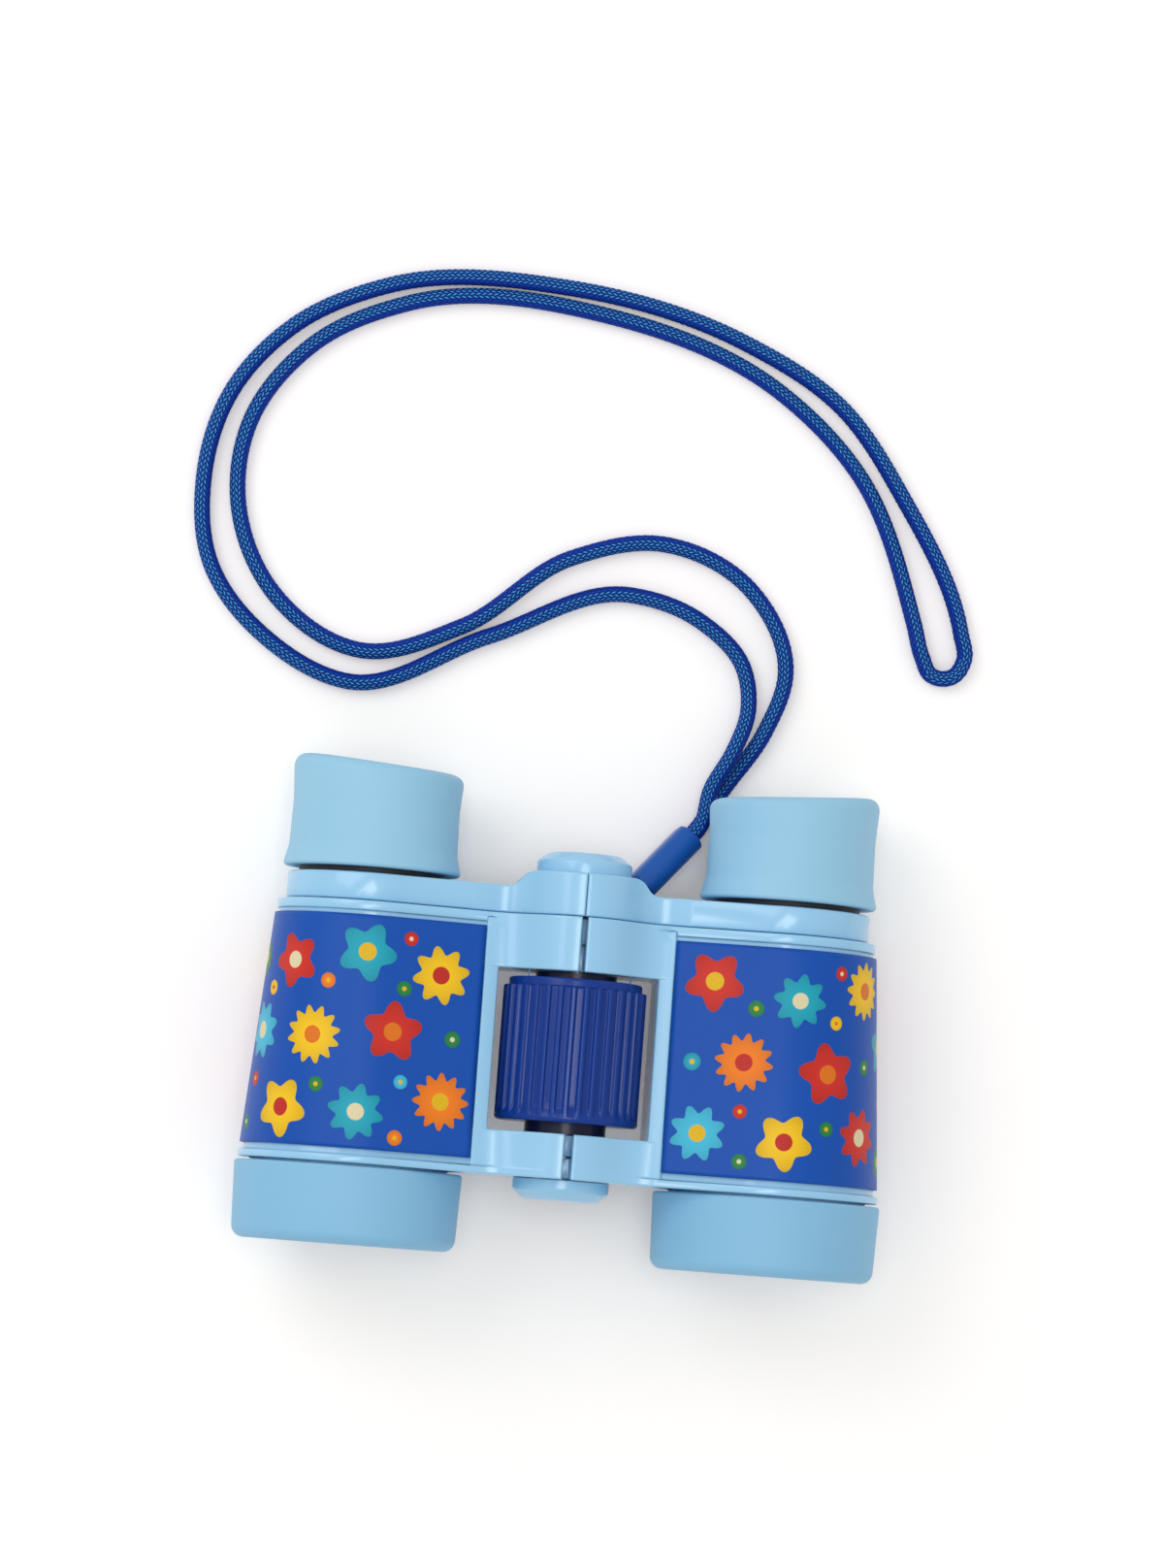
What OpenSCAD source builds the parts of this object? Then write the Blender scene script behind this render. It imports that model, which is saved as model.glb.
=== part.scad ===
// Toy binoculars with a neck cord, lying on their back on a table.
// Each piece is drawn in the binoculars' own frame: Y runs along the barrels from the objectives to the
// eyepieces, y = 0 is the top face of the barrels, x = 0 is the hinge and z = 0 holds both barrel axes.
// The pieces are then laid down together, so that the cups and the eyecups touch the table at z = 0.

/* [Layout] */
// Distance between the two barrel axes
axis_spread = 77.6; // [76:0.2:90]
// Height of the hinge axis in front of the barrel axes
hinge_rise = 7.3; // [5:0.1:9]
// Slope of the front web, from a barrel down to the hinge
web_slope = 12; // [8:0.5:14]
// Depth of the web's back face behind the barrel axes
web_depth = 2.2; // [1:0.1:3]
// Angle cut away behind the hinge on each half, so that the halves can fold
fold_relief = 37; // [36:1:42]

/* [Barrels] */
// Length of a barrel body
body_len = 47.9; // [46:0.1:56]
// Outer radius of the printed wrap at its top edge
wrap_top_r = 17.2; // [16.8:0.05:18]
// Outer radius of the printed wrap at its foot
wrap_foot_r = 20.35; // [19.6:0.05:21]
// Thickness of the printed wrap
wrap_wall = 0.7; // [0.4:0.05:1]
// Distance of the wrap's front edge from the hinge plane
wrap_edge = 17.5; // [16.8:0.1:20]
// Radius of the rim round the top of a body
rim_r = 16.8; // [16.2:0.05:17.2]
// Height of that rim
rim_h = 1.8; // [1:0.1:2.5]
// Groove between the rim and the wrap
rim_groove = 0.8; // [0.4:0.05:1.2]
// Radius of the flange at the foot of a body
flange_r = 20.6; // [20.4:0.05:20.9]
// Thickness of that flange
flange_h = 1.4; // [1:0.1:2.5]
// Groove between the flange and the wrap
flange_groove = 1.25; // [0.6:0.05:1.6]
// Wall of a barrel
barrel_wall = 2; // [1.5:0.1:2.5]
// Thickness of the wall that closes a barrel round its eyepiece tube
top_wall = 2; // [1.5:0.1:3]

/* [Window and lugs] */
// Width of the window that the focus wheel turns in
window_w = 29.5; // [28:0.1:32]
// Height of the hinge lugs above the window
upper_lug_h = 10; // [9:0.1:12]
// Height of the hinge lugs below the window
lower_lug_h = 8.2; // [7.4:0.1:10]
// Outer radius of the upper lugs about the hinge
upper_lug_r = 12; // [11.5:0.1:12.6]
// Outer radius of the lower lugs about the hinge
lower_lug_r = 12.4; // [11.8:0.1:13]
// Hollow rounding between a lug and the web
lug_fillet = 6; // [3:0.5:8]
// Gap between the two upper lugs
upper_lug_gap = 1.1; // [0.6:0.1:1.6]
// Gap between the two lower lugs
lower_lug_gap = 1.7; // [0.8:0.1:2.2]
// Radius of the hinge rings inside the lugs
lug_ring_r = 7.3; // [6.6:0.1:8]

/* [Objectives] */
// Length of an objective cup
cup_len = 14.3; // [12:0.1:18]
// Wall of an objective cup round its spigot
cup_wall = 2.7; // [2.4:0.05:3.2]
// How much narrower an objective cup is at its rim
cup_taper = 0.45; // [0:0.05:1]
// Gap between a cup and the flange above it
cup_gap = 0.5; // [0.2:0.05:1]
// Rounding of a cup's rim
cup_round = 2; // [1:0.1:2.4]
// How much narrower the spigot that a cup is pushed on is than the foot of the wrap
spigot_step = 2.05; // [1.8:0.05:2.6]
// Length of that spigot
spigot_len = 7.1; // [6:0.1:8]
// Wall of the spigot round an objective lens
spigot_wall = 2.1; // [1.8:0.1:2.6]
// Wall of the hood at its mouth
hood_wall = 2.4; // [2.2:0.1:3]
// Bevel inside the hood's mouth
hood_bevel = 0.8; // [0.4:0.1:1.2]
// Depth of an objective lens behind the spigot's mouth
objective_depth = 11; // [10:0.1:13]
// Width of the ledge that an objective lens sits on
objective_ledge = 1.2; // [1:0.1:2]
// Length of that ledge, and of the cone behind it
objective_neck = 3; // [2:0.1:4]
// Edge thickness of an objective lens
objective_edge = 2.2; // [1.5:0.1:3]
// Radius of curvature of an objective lens
objective_curve = 45; // [40:1:70]
// Depth of an objective lens's ring behind the spigot's mouth
retainer_inset = 2; // [1:0.1:3]

/* [Eyepieces] */
// Radius of the bridge round an eyepiece
bridge_r = 15.4; // [14.8:0.1:16.2]
// Thickness of the bridge
bridge_h = 5; // [4:0.1:7]
// Gap between the bridge and the barrels
bridge_gap = 0.2; // [0.1:0.05:1]
// Outer radius of the bridge about the hinge
bridge_lug_r = 11; // [10.4:0.1:12]
// Half the width of the boss on top of the bridge
boss_half = 9.2; // [9:0.1:10.2]
// Height of that boss above the bridge
boss_h = 2.9; // [2.4:0.1:4]
// Width over which the bridge rises to that boss, on each side
boss_run = 5; // [4:0.1:7]
// Gap between the two bridge halves
bridge_seam = 0.12; // [0.1:0.02:0.4]
// Radius of the hinge rings inside the bridge
bridge_ring_r = 6; // [5.6:0.1:6.8]
// Outer radius of an eyepiece tube
tube_r = 12; // [11.4:0.1:12.4]
// Wall of an eyepiece tube
tube_wall = 1.4; // [1.2:0.1:2]
// Length of tube inside a barrel, when the eyepieces are in
tube_inside = 12; // [10:0.5:16]
// Length of tube inside an eyecup
tube_outside = 11.9; // [10:0.1:14]
// Depth of an eye lens's ledge below the end of its tube
eye_seat = 6.2; // [5.6:0.1:7]
// Width of that ledge
eye_ledge = 1; // [0.6:0.1:1.4]
// Thickness of an eye lens at its edge
eye_lens_edge = 3; // [2.5:0.1:3.6]
// Width of the flat edge round the hollow of an eye lens
eye_lens_flat = 1.6; // [1.4:0.1:2]
// Radius of curvature of that hollow
eye_lens_curve = 25; // [20:1:40]
// Width of the ring that holds an eye lens
eye_ring = 1.4; // [1:0.1:1.6]
// Depth of that ring below the end of its tube
eye_ring_inset = 1; // [0.5:0.1:2]
// Gap between an eyecup and the bridge
eyecup_gap = 1.1; // [0.6:0.1:2]
// Length of an eyecup at its middle
eyecup_len = 19.7; // [18:0.1:24]
// Rise of an eyecup's rim from the middle to the outer side
eyecup_rise = 1; // [0:0.1:2]
// Radius of an eyecup's skirt
skirt_r = 16.55; // [16.2:0.05:17.2]
// Radius of an eyecup above its skirt
eyecup_r = 15.7; // [15.2:0.05:16.4]
// Height over which the skirt flares
skirt_h = 4.2; // [3:0.1:6]
// Radius of an eyecup's mouth
eye_mouth_r = 13; // [12.4:0.1:13.4]
// Depth of the straight part of that mouth
eye_mouth_depth = 2; // [1:0.1:4]
// Width of the lip inside an eyecup that sits on the end of its tube
eyecup_lip = 1.25; // [1:0.05:1.4]
// Thickness of that lip
eyecup_lip_h = 1; // [0.6:0.1:1.6]

/* [Focus drive] */
// Radius of the focus wheel
wheel_r = 13.2; // [12.6:0.05:13.6]
// Gap between the focus wheel and the upper lugs
wheel_gap = 1.3; // [1:0.1:2]
// Gap between the focus wheel and the lower lugs
wheel_foot_gap = 2.1; // [1:0.1:3]
// Rounding of the ends of the focus wheel
wheel_round = 1; // [0.5:0.1:1.5]
// Number of flutes round the focus wheel
flute_count = 34; // [28:1:40]
// Radius of one flute
flute_r = 0.8; // [0.5:0.05:0.95]
// Smooth band at each end of the focus wheel
wheel_band = 1.8; // [1:0.1:3]
// Radius of the nut inside the focus wheel
nut_r = 6.5; // [6:0.1:7.2]
// Radius of the washers at the ends of the focus wheel
washer_r = 7.5; // [7:0.1:8.5]
// Radius of the threaded stem that carries the bridge
stem_r = 3.2; // [2.8:0.1:3.4]
// Gap between the stem and the hinge pin inside the focus wheel, when the eyepieces are in
stem_gap = 6; // [5:0.1:8]
// Radius of the bush in the upper lugs
bush_r = 4.5; // [4.2:0.1:5]
// Radius of the hinge pin in the lower lugs
pin_r = 3; // [2.5:0.1:3.4]
// Length of hinge pin inside the focus wheel
pin_inside = 7.6; // [6:0.1:9]

/* [Caps] */
// Radius of the cap on the bridge
top_cap_r = 8.8; // [8.2:0.1:9.6]
// Thickness of the cap on the bridge
top_cap_h = 4; // [3:0.1:5]
// Radius of the cap under the lower lugs
foot_cap_r = 8.9; // [8.2:0.1:9.6]
// Thickness of the cap under the lower lugs
foot_cap_h = 3.9; // [3:0.1:5]
// Thickness of a cap over the end of its stem or pin
cap_skin = 1.2; // [1:0.1:2]
// Bevel of the caps
cap_bevel = 1.6; // [1:0.1:2]

/* [Neck cord] */
// Diameter of the cord
cord_d = 3.2; // [2.8:0.1:3.4]
// Length of the ferrule that holds the two cord ends
ferrule_len = 14; // [12:0.5:15]
// Wall of the ferrule beside the cord
ferrule_wall = 1.15; // [0.8:0.05:1.3]
// Radius of the bar that the cord is looped round
cord_bar_r = 1.3; // [1:0.1:1.5]
// Distance of that bar from the hinge plane, to the middle of the cord
cord_bar_x = 10.4; // [10:0.1:11]
// Distance of that bar below the top face of the barrels
cord_bar_drop = 2.85; // [2.5:0.05:4]
// Thickness of the ears that hold the bar
cord_ear = 1.2; // [1:0.1:1.4]

/* [Fits] */
// Radial clearance of a piece that is pushed in or turns
fit = 0.05; // [0.02:0.01:0.1]
// Clearance of a piece that passes another freely
clear = 0.3; // [0.2:0.05:0.4]
// End clearance of a piece that turns between two faces
end_play = 0.1; // [0.05:0.05:0.2]
// Rounding where the cups and eyecups touch the table
touch_round = 0.6; // [0.4:0.1:0.8]

/* [Hidden] */
$fn = 96;
eps = 0.01;
far = 200;
axis_half = axis_spread / 2;
window_half = window_w / 2;

// Levels along Y
rim_y = -rim_h;
rim_mid_y = rim_y / 2;
wrap_top_y = rim_y - rim_groove;
flange_y = flange_h - body_len;
flange_mid_y = flange_y - flange_h / 2;
wrap_foot_y = flange_y + flange_groove;
window_top_y = -upper_lug_h;
window_foot_y = lower_lug_h - body_len;
wheel_top_y = window_top_y - wheel_gap;
wheel_foot_y = window_foot_y + wheel_foot_gap;
wheel_len = wheel_top_y - wheel_foot_y;
stem_inside = wheel_len - pin_inside - stem_gap;
cup_top_y = -body_len - cup_gap;
cup_rim_y = cup_top_y - cup_len;
spigot_y = -body_len - spigot_len;
bridge_y = bridge_gap;
bridge_top_y = bridge_y + bridge_h;
boss_top_y = bridge_top_y + boss_h;
skirt_y = bridge_top_y + eyecup_gap;
eyecup_y = skirt_y + eyecup_len;
tube_top_y = skirt_y + tube_outside;
tube_foot_y = -tube_inside;
eye_ledge_y = tube_top_y - eye_seat;
objective_y = spigot_y + objective_depth;
cord_bar_y = -cord_bar_drop;

// Radii that fit in one another, from the foot of the wrap inward and outward
spigot_r = wrap_foot_r - spigot_step;
cup_top_r = spigot_r + fit + cup_wall;
cup_rim_r = cup_top_r - cup_taper;
hood_r = cup_rim_r - hood_wall;
objective_r = spigot_r - spigot_wall;
objective_clear_r = objective_r - objective_ledge;
eye_bore_r = tube_r - tube_wall;

// How far the flat web lies below the plane that touches the barrel, and the fillets below the web and the lugs
web_sink = 0.15;
fillet_sink = 0.15;

// Hinge rings: the right half has the lower ring of each pair and the left half the upper one
upper_rings = [
    [window_top_y + end_play, (window_top_y - clear) / 2],
    [(window_top_y + clear) / 2, -end_play]
];
lower_mid_y = window_foot_y - lower_lug_h / 2;
lower_rings = [
    [end_play - body_len, lower_mid_y - clear / 2],
    [lower_mid_y + clear / 2, window_foot_y - end_play]
];
bridge_mid_y = (bridge_y + boss_top_y) / 2;
bridge_rings = [
    [bridge_y + end_play, bridge_mid_y - clear / 2],
    [bridge_mid_y + clear / 2, boss_top_y - end_play]
];

// Rest pose: the line that touches the round of the cups and the rims of the eyecups lies on the table
touch_cup = [cup_top_y - touch_round, cup_top_r - touch_round];
touch_rim = [eyecup_y, eyecup_r];
touch_span = touch_rim - touch_cup;
rest_tilt = atan2(-touch_span[1], touch_span[0]) + asin(touch_round / norm(touch_span));
rest_z = eyecup_y * sin(rest_tilt) + eyecup_r * cos(rest_tilt);
eyecup_reach = eyecup_y * cos(rest_tilt)
    + sqrt(pow(eyecup_rise * cos(rest_tilt), 2) + pow(eyecup_r * sin(rest_tilt), 2));
cup_reach = cup_rim_y * cos(rest_tilt) - (cup_rim_r - cup_round) * sin(rest_tilt);
rest_y = -(eyecup_reach + cup_reach) / 2;

// Ferrule and cord, on the table
ferrule_mouth = [20.5, 35.5, 5.4];
ferrule_turn = 49;
ferrule_dip = 14;
strand_r = cord_d / 2 + fit;
strand_off = strand_r + clear / 2;
ferrule_axis = [cos(ferrule_turn) * cos(ferrule_dip), sin(ferrule_turn) * cos(ferrule_dip), -sin(ferrule_dip)];
ferrule_up = [cos(ferrule_turn) * sin(ferrule_dip), sin(ferrule_turn) * sin(ferrule_dip), cos(ferrule_dip)];
ferrule_back = ferrule_mouth - ferrule_len * ferrule_axis;
strand_grip = 2;
cord_sides = 8;
cord_z = cord_d / 2;

// Route of the cord over the table, from the ferrule's upper hole round to its lower hole
cord_points = [
    [24, 45, 4.7], [27.5, 52, 4.4], [30, 61, 1.8], [28.5, 68, 1.6], [20, 76, 1.6], [6, 80, 1.6],
    [-20, 70, 1.6], [-46, 59.5, 1.6], [-61, 66, 1.6], [-73, 79.5, 1.6], [-75.5, 95, 1.6], [-72, 111, 1.6],
    [-61, 125, 1.6], [-44, 134, 1.6], [-10, 136.5, 1.6], [24, 129, 1.6], [43, 118.5, 1.6], [56, 102.5, 1.6],
    [69, 78, 1.6], [70, 73, 1.6], [68, 69.7, 1.6], [64, 69.7, 1.6], [62, 73, 1.6], [60, 79, 1.6],
    [47, 106.5, 1.6], [31, 120.5, 1.6], [-3, 132, 1.6], [-40, 131, 1.6], [-57.5, 121.5, 1.6],
    [-68, 105.5, 1.6], [-68.5, 90, 1.6], [-60, 74, 1.6], [-44, 65.5, 1.6], [-25, 71.5, 1.6], [-5.5, 86, 1.6],
    [12, 90, 1.6], [29, 82.5, 1.6], [36.5, 68, 1.6], [33.5, 56.5, 1.6], [26.5, 45, 1.6]
];

BODY_BLUE = [0.59, 0.79, 0.89];
CUP_BLUE = [0.54, 0.75, 0.86];
WRAP_BLUE = [0.11, 0.31, 0.66];
WHEEL_BLUE = [0.06, 0.16, 0.45];
CORD_BLUE = [0.08, 0.30, 0.66];
GLASS = [0.78, 0.88, 0.92];
DARK = [0.12, 0.13, 0.16];
STEEL = [0.72, 0.73, 0.75];
BRASS = [0.80, 0.66, 0.34];

// Points on an arc of radius r about c, from angle a to angle b
function arc(c, r, a, b, n = 8) =
    [for (i = [0 : n]) c + r * [cos(a + (b - a) * i / n), sin(a + (b - a) * i / n)]];

// Outer radius of the wrap at a level
function wrap_r(y) = wrap_top_r + (wrap_foot_r - wrap_top_r) * (wrap_top_y - y) / (wrap_top_y - wrap_foot_y);

// Inner radius of a barrel at a level
function barrel_bore_r(y) = wrap_r(y) - wrap_wall - barrel_wall;

// Fall of a spherical face of radius curve at distance r from its middle
function sag(curve, r) = curve - sqrt(curve * curve - r * r);

// Lays the binoculars on the table
module lie() translate([0, rest_y, rest_z]) rotate([-rest_tilt, 0, 0]) children();

module at_barrel() translate([axis_half, 0, 0]) children();

module at_hinge() translate([0, 0, hinge_rise]) children();

module left() mirror([1, 0, 0]) children();

// Round bar along Y from y0 to y1, with radius r0 at y0 and r1 at y1
module rod(r0, y0, y1, r1) translate([0, y0, 0]) rotate([-90, 0, 0])
    cylinder(h = y1 - y0, r1 = r0, r2 = is_undef(r1) ? r0 : r1);

// Piece turned about Y from an outline of [radius, y] points
module turned(points) rotate([-90, 0, 0]) rotate_extrude() polygon(points);

module ring(r_out, r_in, y0, y1) difference() {
    rod(r_out, y0, y1);
    rod(r_in, y0 - 1, y1 + 1);
}

// Round barrel with the sloping web that runs from it to the hinge: radius r0 at y0 and r1 at y1
module barrel_form(r0, y0, y1, r1) {
    at_barrel() rod(r0, y0, y1, r1);
    intersection() {
        at_barrel() rotate([0, -web_slope, 0]) translate([-axis_spread, 0, 0]) rotate([90, 0, 90])
            linear_extrude(axis_spread)
                polygon([[y0, -far], [y1, -far], [y1, r1 - web_sink], [y0, r0 - web_sink]]);
        translate([0, y0 - 1, -web_depth]) cube([axis_half, y1 - y0 + 2, far]);
    }
}

// Plate from y0 to y1 across a barrel of radius r, its web and a lug of radius lug_r about the hinge
module slab(r, lug_r, y0, y1) translate([0, y1, 0]) rotate([90, 0, 0]) linear_extrude(y1 - y0) {
    across = [-sin(web_slope), cos(web_slope)];
    touch = [axis_half, 0] + (r - web_sink) * across;
    fillet = fillet_points(r - web_sink - fillet_sink, lug_r - fillet_sink);
    translate([axis_half, 0]) circle(r);
    translate([0, hinge_rise]) circle(lug_r);
    polygon([
        [0, -web_depth], [axis_half, -web_depth], [axis_half, 0], touch, touch - touch[0] * [1, tan(web_slope)]
    ]);
    difference() {
        polygon([fillet[1], fillet[0], fillet[2], fillet[1] + fillet[2] - fillet[0]]);
        translate(fillet[0]) circle(lug_fillet);
    }
}

// Barrel form that lies below the wrap's outer face by inset
module wrap_form(inset, y0, y1) barrel_form(wrap_r(y0) - inset, y0, y1, wrap_r(y1) - inset);

// Hollow rounding between a lug of radius lug_r and the web of a barrel of radius r: its centre, and the
// points where it meets the web and the lug
function fillet_points(r, lug_r) = let (
    across = [-sin(web_slope), cos(web_slope)],
    along = [-cos(web_slope), -sin(web_slope)],
    hinge = [0, hinge_rise],
    start = [axis_half, 0] + (r + lug_fillet) * across - hinge,
    back = start * along,
    step = -back - sqrt(back * back - start * start + pow(lug_r + lug_fillet, 2)),
    centre = hinge + start + step * along
) [centre, centre - lug_fillet * across, hinge + lug_r * (centre - hinge) / norm(centre - hinge)];

module lug_fillet_block(lug_r, y0, y1) {
    mid_y = (y0 + y1) / 2;
    points = fillet_points(wrap_r(mid_y) - web_sink - fillet_sink, lug_r - fillet_sink);
    rise = atan((wrap_foot_r - wrap_top_r) / (wrap_top_y - wrap_foot_y) / cos(web_slope));
    inner = (points[1] + points[2]) - points[0];
    intersection() {
        translate([0, mid_y, points[1][1]]) rotate([90 - rise, 0, 0])
            translate([0, -points[1][1], -body_len / 2]) linear_extrude(body_len) difference() {
                polygon([points[1], points[0], points[2], inner]);
                translate(points[0]) circle(lug_fillet);
            }
        translate([-far, y0, -far]) cube([2 * far, y1 - y0, 2 * far]);
    }
}

// What is cut away behind the hinge so that the halves can fold
module fold_wedge(y0, y1) at_hinge() translate([0, y1, 0]) rotate([90, 0, 0]) linear_extrude(y1 - y0)
    polygon([[0, 0], [far * sin(fold_relief), -far * cos(fold_relief)], [-far, -far], [-far, 0]]);

module seam_cut(gap, y0, y1) translate([-far, y0, -far]) cube([far + gap / 2, y1 - y0, 2 * far]);

// Room inside a lug for the other half's ring
module ring_room(ring_r, span) at_hinge() rod(ring_r + clear, span[0] - clear, span[1] + clear);

// Right half's body, with its own ring in each lug and room for the other half's
module half_body(own, other) difference() {
    cone_y = objective_y + 2 * objective_neck;
    union() {
        difference() {
            union() {
                wrap_form(wrap_wall, flange_mid_y, rim_mid_y);
                intersection() {
                    wrap_form(0, flange_mid_y, rim_mid_y);
                    translate([0, -far, 0]) cube([wrap_edge - fit, 2 * far, far]);
                }
                slab(rim_r, upper_lug_r, rim_y, 0);
                slab(flange_r, lower_lug_r, -body_len, flange_y);
                at_hinge() rod(upper_lug_r, window_top_y - 1, rim_mid_y);
                at_hinge() rod(lower_lug_r, flange_mid_y, window_foot_y + 1);
                lug_fillet_block(upper_lug_r, window_top_y, rim_mid_y);
                lug_fillet_block(lower_lug_r, flange_mid_y, window_foot_y);
            }
            translate([-far, window_foot_y, -far])
                cube([far + window_half, window_top_y - window_foot_y, 2 * far]);
            seam_cut(upper_lug_gap, window_top_y - 1, 1);
            seam_cut(lower_lug_gap, -body_len - 1, window_foot_y + 1);
            fold_wedge(-body_len - 1, 1);
            ring_room(lug_ring_r, upper_rings[other]);
            ring_room(lug_ring_r, lower_rings[other]);
        }
        at_hinge() rod(lug_ring_r, upper_rings[own][0], upper_rings[own][1]);
        at_hinge() rod(lug_ring_r, lower_rings[own][0], lower_rings[own][1]);
        at_barrel() rod(spigot_r, spigot_y, -body_len + eps);
    }
    at_hinge() rod(bush_r + fit, window_top_y - 1, 1);
    at_hinge() rod(pin_r + fit, -body_len - 1, window_foot_y + 1);
    at_barrel() turned([
        [0, 1], [tube_r + clear, 1], [tube_r + clear, -top_wall], [barrel_bore_r(-top_wall), -top_wall],
        [barrel_bore_r(cone_y), cone_y], [objective_clear_r, cone_y - objective_neck],
        [objective_clear_r, objective_y], [objective_r + fit, objective_y], [objective_r + fit, spigot_y - 1],
        [0, spigot_y - 1]
    ]);
}

// Two ears and a bar on the back of the right upper lug
module cord_anchor() {
    bar_z = -web_depth - cord_d - clear - cord_bar_r;
    ear_gap = cord_d + 2 * clear;
    ear_half = cord_bar_r + clear;
    for (side = [-1, 1]) translate([
        cord_bar_x + side * (ear_gap + cord_ear) / 2 - cord_ear / 2, cord_bar_y - ear_half, bar_z - ear_half
    ]) cube([cord_ear, 2 * ear_half, ear_half + 1 - bar_z - web_depth]);
    translate([cord_bar_x - (ear_gap + cord_ear) / 2, cord_bar_y, bar_z]) rotate([0, 90, 0])
        cylinder(h = ear_gap + cord_ear, r = cord_bar_r);
}

module right_barrel() color(BODY_BLUE) lie() {
    half_body(0, 1);
    cord_anchor();
}

module left_barrel() color(BODY_BLUE) lie() left() half_body(1, 0);

// Front edge of a sheet that touches a barrel of radius r and runs on along the web
function wrap_lip(r) = let (touch = [axis_half - r * sin(web_slope), r * cos(web_slope)])
    touch - (touch[0] - wrap_edge) * [1, tan(web_slope)];

// Outline of the wrap at one level: flat on the front web, then round the outside to the back of the web
function wrap_outline(r) = let (
    inner = r - wrap_wall + fit,
    front = 90 + web_slope,
    back = asin((web_depth + clear) / wrap_top_r) - 180
) concat(
    [wrap_lip(r)],
    arc([axis_half, 0], r, front, back, 60),
    arc([axis_half, 0], inner, back, front, 60),
    [wrap_lip(inner)]
);

// Printed sheet round a barrel
module wrap() {
    foot = wrap_outline(wrap_foot_r);
    top = wrap_outline(wrap_top_r);
    n = len(foot);
    points = concat([for (p = foot) [p[0], wrap_foot_y, p[1]]], [for (p = top) [p[0], wrap_top_y, p[1]]]);
    sides = [for (k = [0 : n - 1]) let (m = (k + 1) % n) each [[m, k, n + k], [m, n + k, n + m]]];
    strip = [for (k = [0 : n / 2 - 2]) each [[k, k + 1, n - 2 - k], [k, n - 2 - k, n - 1 - k]]];
    lid = [for (f = strip) [n + f[2], n + f[1], n + f[0]]];
    polyhedron(points, concat(sides, strip, lid), convexity = 6);
}

module right_wrap() color(WRAP_BLUE) lie() wrap();

module left_wrap() color(WRAP_BLUE) lie() left() wrap();

// Soft cup on the objective end, a hood with a rounded rim
module objective_cup() at_barrel() turned(concat(
    arc([cup_top_r - touch_round, cup_top_y - touch_round], touch_round, 90, 0),
    arc([cup_rim_r - cup_round, cup_rim_y + cup_round], cup_round, 0, -90),
    [
        [hood_r, cup_rim_y], [hood_r - hood_bevel, cup_rim_y + hood_bevel],
        [objective_r, spigot_y - spigot_wall / 2], [objective_r, spigot_y - fit],
        [spigot_r + fit, spigot_y - fit], [spigot_r + fit, cup_top_y]
    ]
));

module right_objective_cup() color(CUP_BLUE) lie() objective_cup();

module left_objective_cup() color(CUP_BLUE) lie() left() objective_cup();

// Lens with a flat back and a bulging front
module objective_lens() at_barrel() intersection() {
    rod(objective_r, objective_y - objective_edge - sag(objective_curve, objective_r), objective_y);
    translate([0, objective_y - objective_edge - sag(objective_curve, objective_r) + objective_curve, 0])
        sphere(objective_curve);
}

module right_objective_lens() color(GLASS) lie() objective_lens();

module left_objective_lens() color(GLASS) lie() left() objective_lens();

// Ring that holds an objective lens on its ledge
module lens_retainer() {
    seat = sag(objective_curve, objective_r) - sag(objective_curve, objective_clear_r);
    at_barrel()
        ring(objective_r, objective_clear_r, spigot_y + retainer_inset, objective_y - objective_edge - seat);
}

module right_lens_retainer() color(DARK) lie() lens_retainer();

module left_lens_retainer() color(DARK) lie() left() lens_retainer();

// Bridge as seen from the front: a flat bar that rises to the boss in two arcs of the same radius
module bridge_front() {
    turn = 2 * atan(boss_h / boss_run);
    round = boss_run / 2 / sin(turn);
    translate([0, 0, -far]) linear_extrude(2 * far) polygon(concat(
        [[-far, bridge_y], [far, bridge_y], [far, bridge_top_y]],
        arc([boss_half + boss_run, bridge_top_y + round], round, 270, 270 - turn),
        arc([boss_half, boss_top_y - round], round, 90 - turn * 7 / 8, 90, 7),
        [[-far, boss_top_y]]
    ));
}

// Right half of the bridge, with its own hinge ring and room for the other half's
module half_bridge(own, other) difference() {
    union() {
        difference() {
            intersection() {
                slab(bridge_r, bridge_lug_r, bridge_y - 1, boss_top_y + 1);
                bridge_front();
            }
            seam_cut(bridge_seam, bridge_y - 1, boss_top_y + 1);
            fold_wedge(bridge_y - 1, boss_top_y + 1);
            ring_room(bridge_ring_r, bridge_rings[other]);
            at_barrel() rod(tube_r + fit, bridge_y - 1, boss_top_y + 1);
        }
        at_hinge() rod(bridge_ring_r, bridge_rings[own][0], bridge_rings[own][1]);
    }
    at_hinge() rod(stem_r + fit, bridge_y - 1, boss_top_y + 1);
}

module right_bridge() color(BODY_BLUE) lie() half_bridge(0, 1);

module left_bridge() color(BODY_BLUE) lie() left() half_bridge(1, 0);

// Tube that slides in a barrel, with a collar that sits on the bridge and a ledge for the eye lens
module eyepiece_tube() at_barrel() turned([
    [eye_bore_r - eye_ledge, tube_foot_y], [tube_r, tube_foot_y], [tube_r, bridge_top_y],
    [tube_r + tube_wall, bridge_top_y], [tube_r + tube_wall, skirt_y - end_play], [tube_r, skirt_y - end_play],
    [tube_r, tube_top_y], [eye_bore_r, tube_top_y], [eye_bore_r, eye_ledge_y],
    [eye_bore_r - eye_ledge, eye_ledge_y]
]);

module right_eyepiece_tube() color(DARK) lie() eyepiece_tube();

module left_eyepiece_tube() color(DARK) lie() left() eyepiece_tube();

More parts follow.
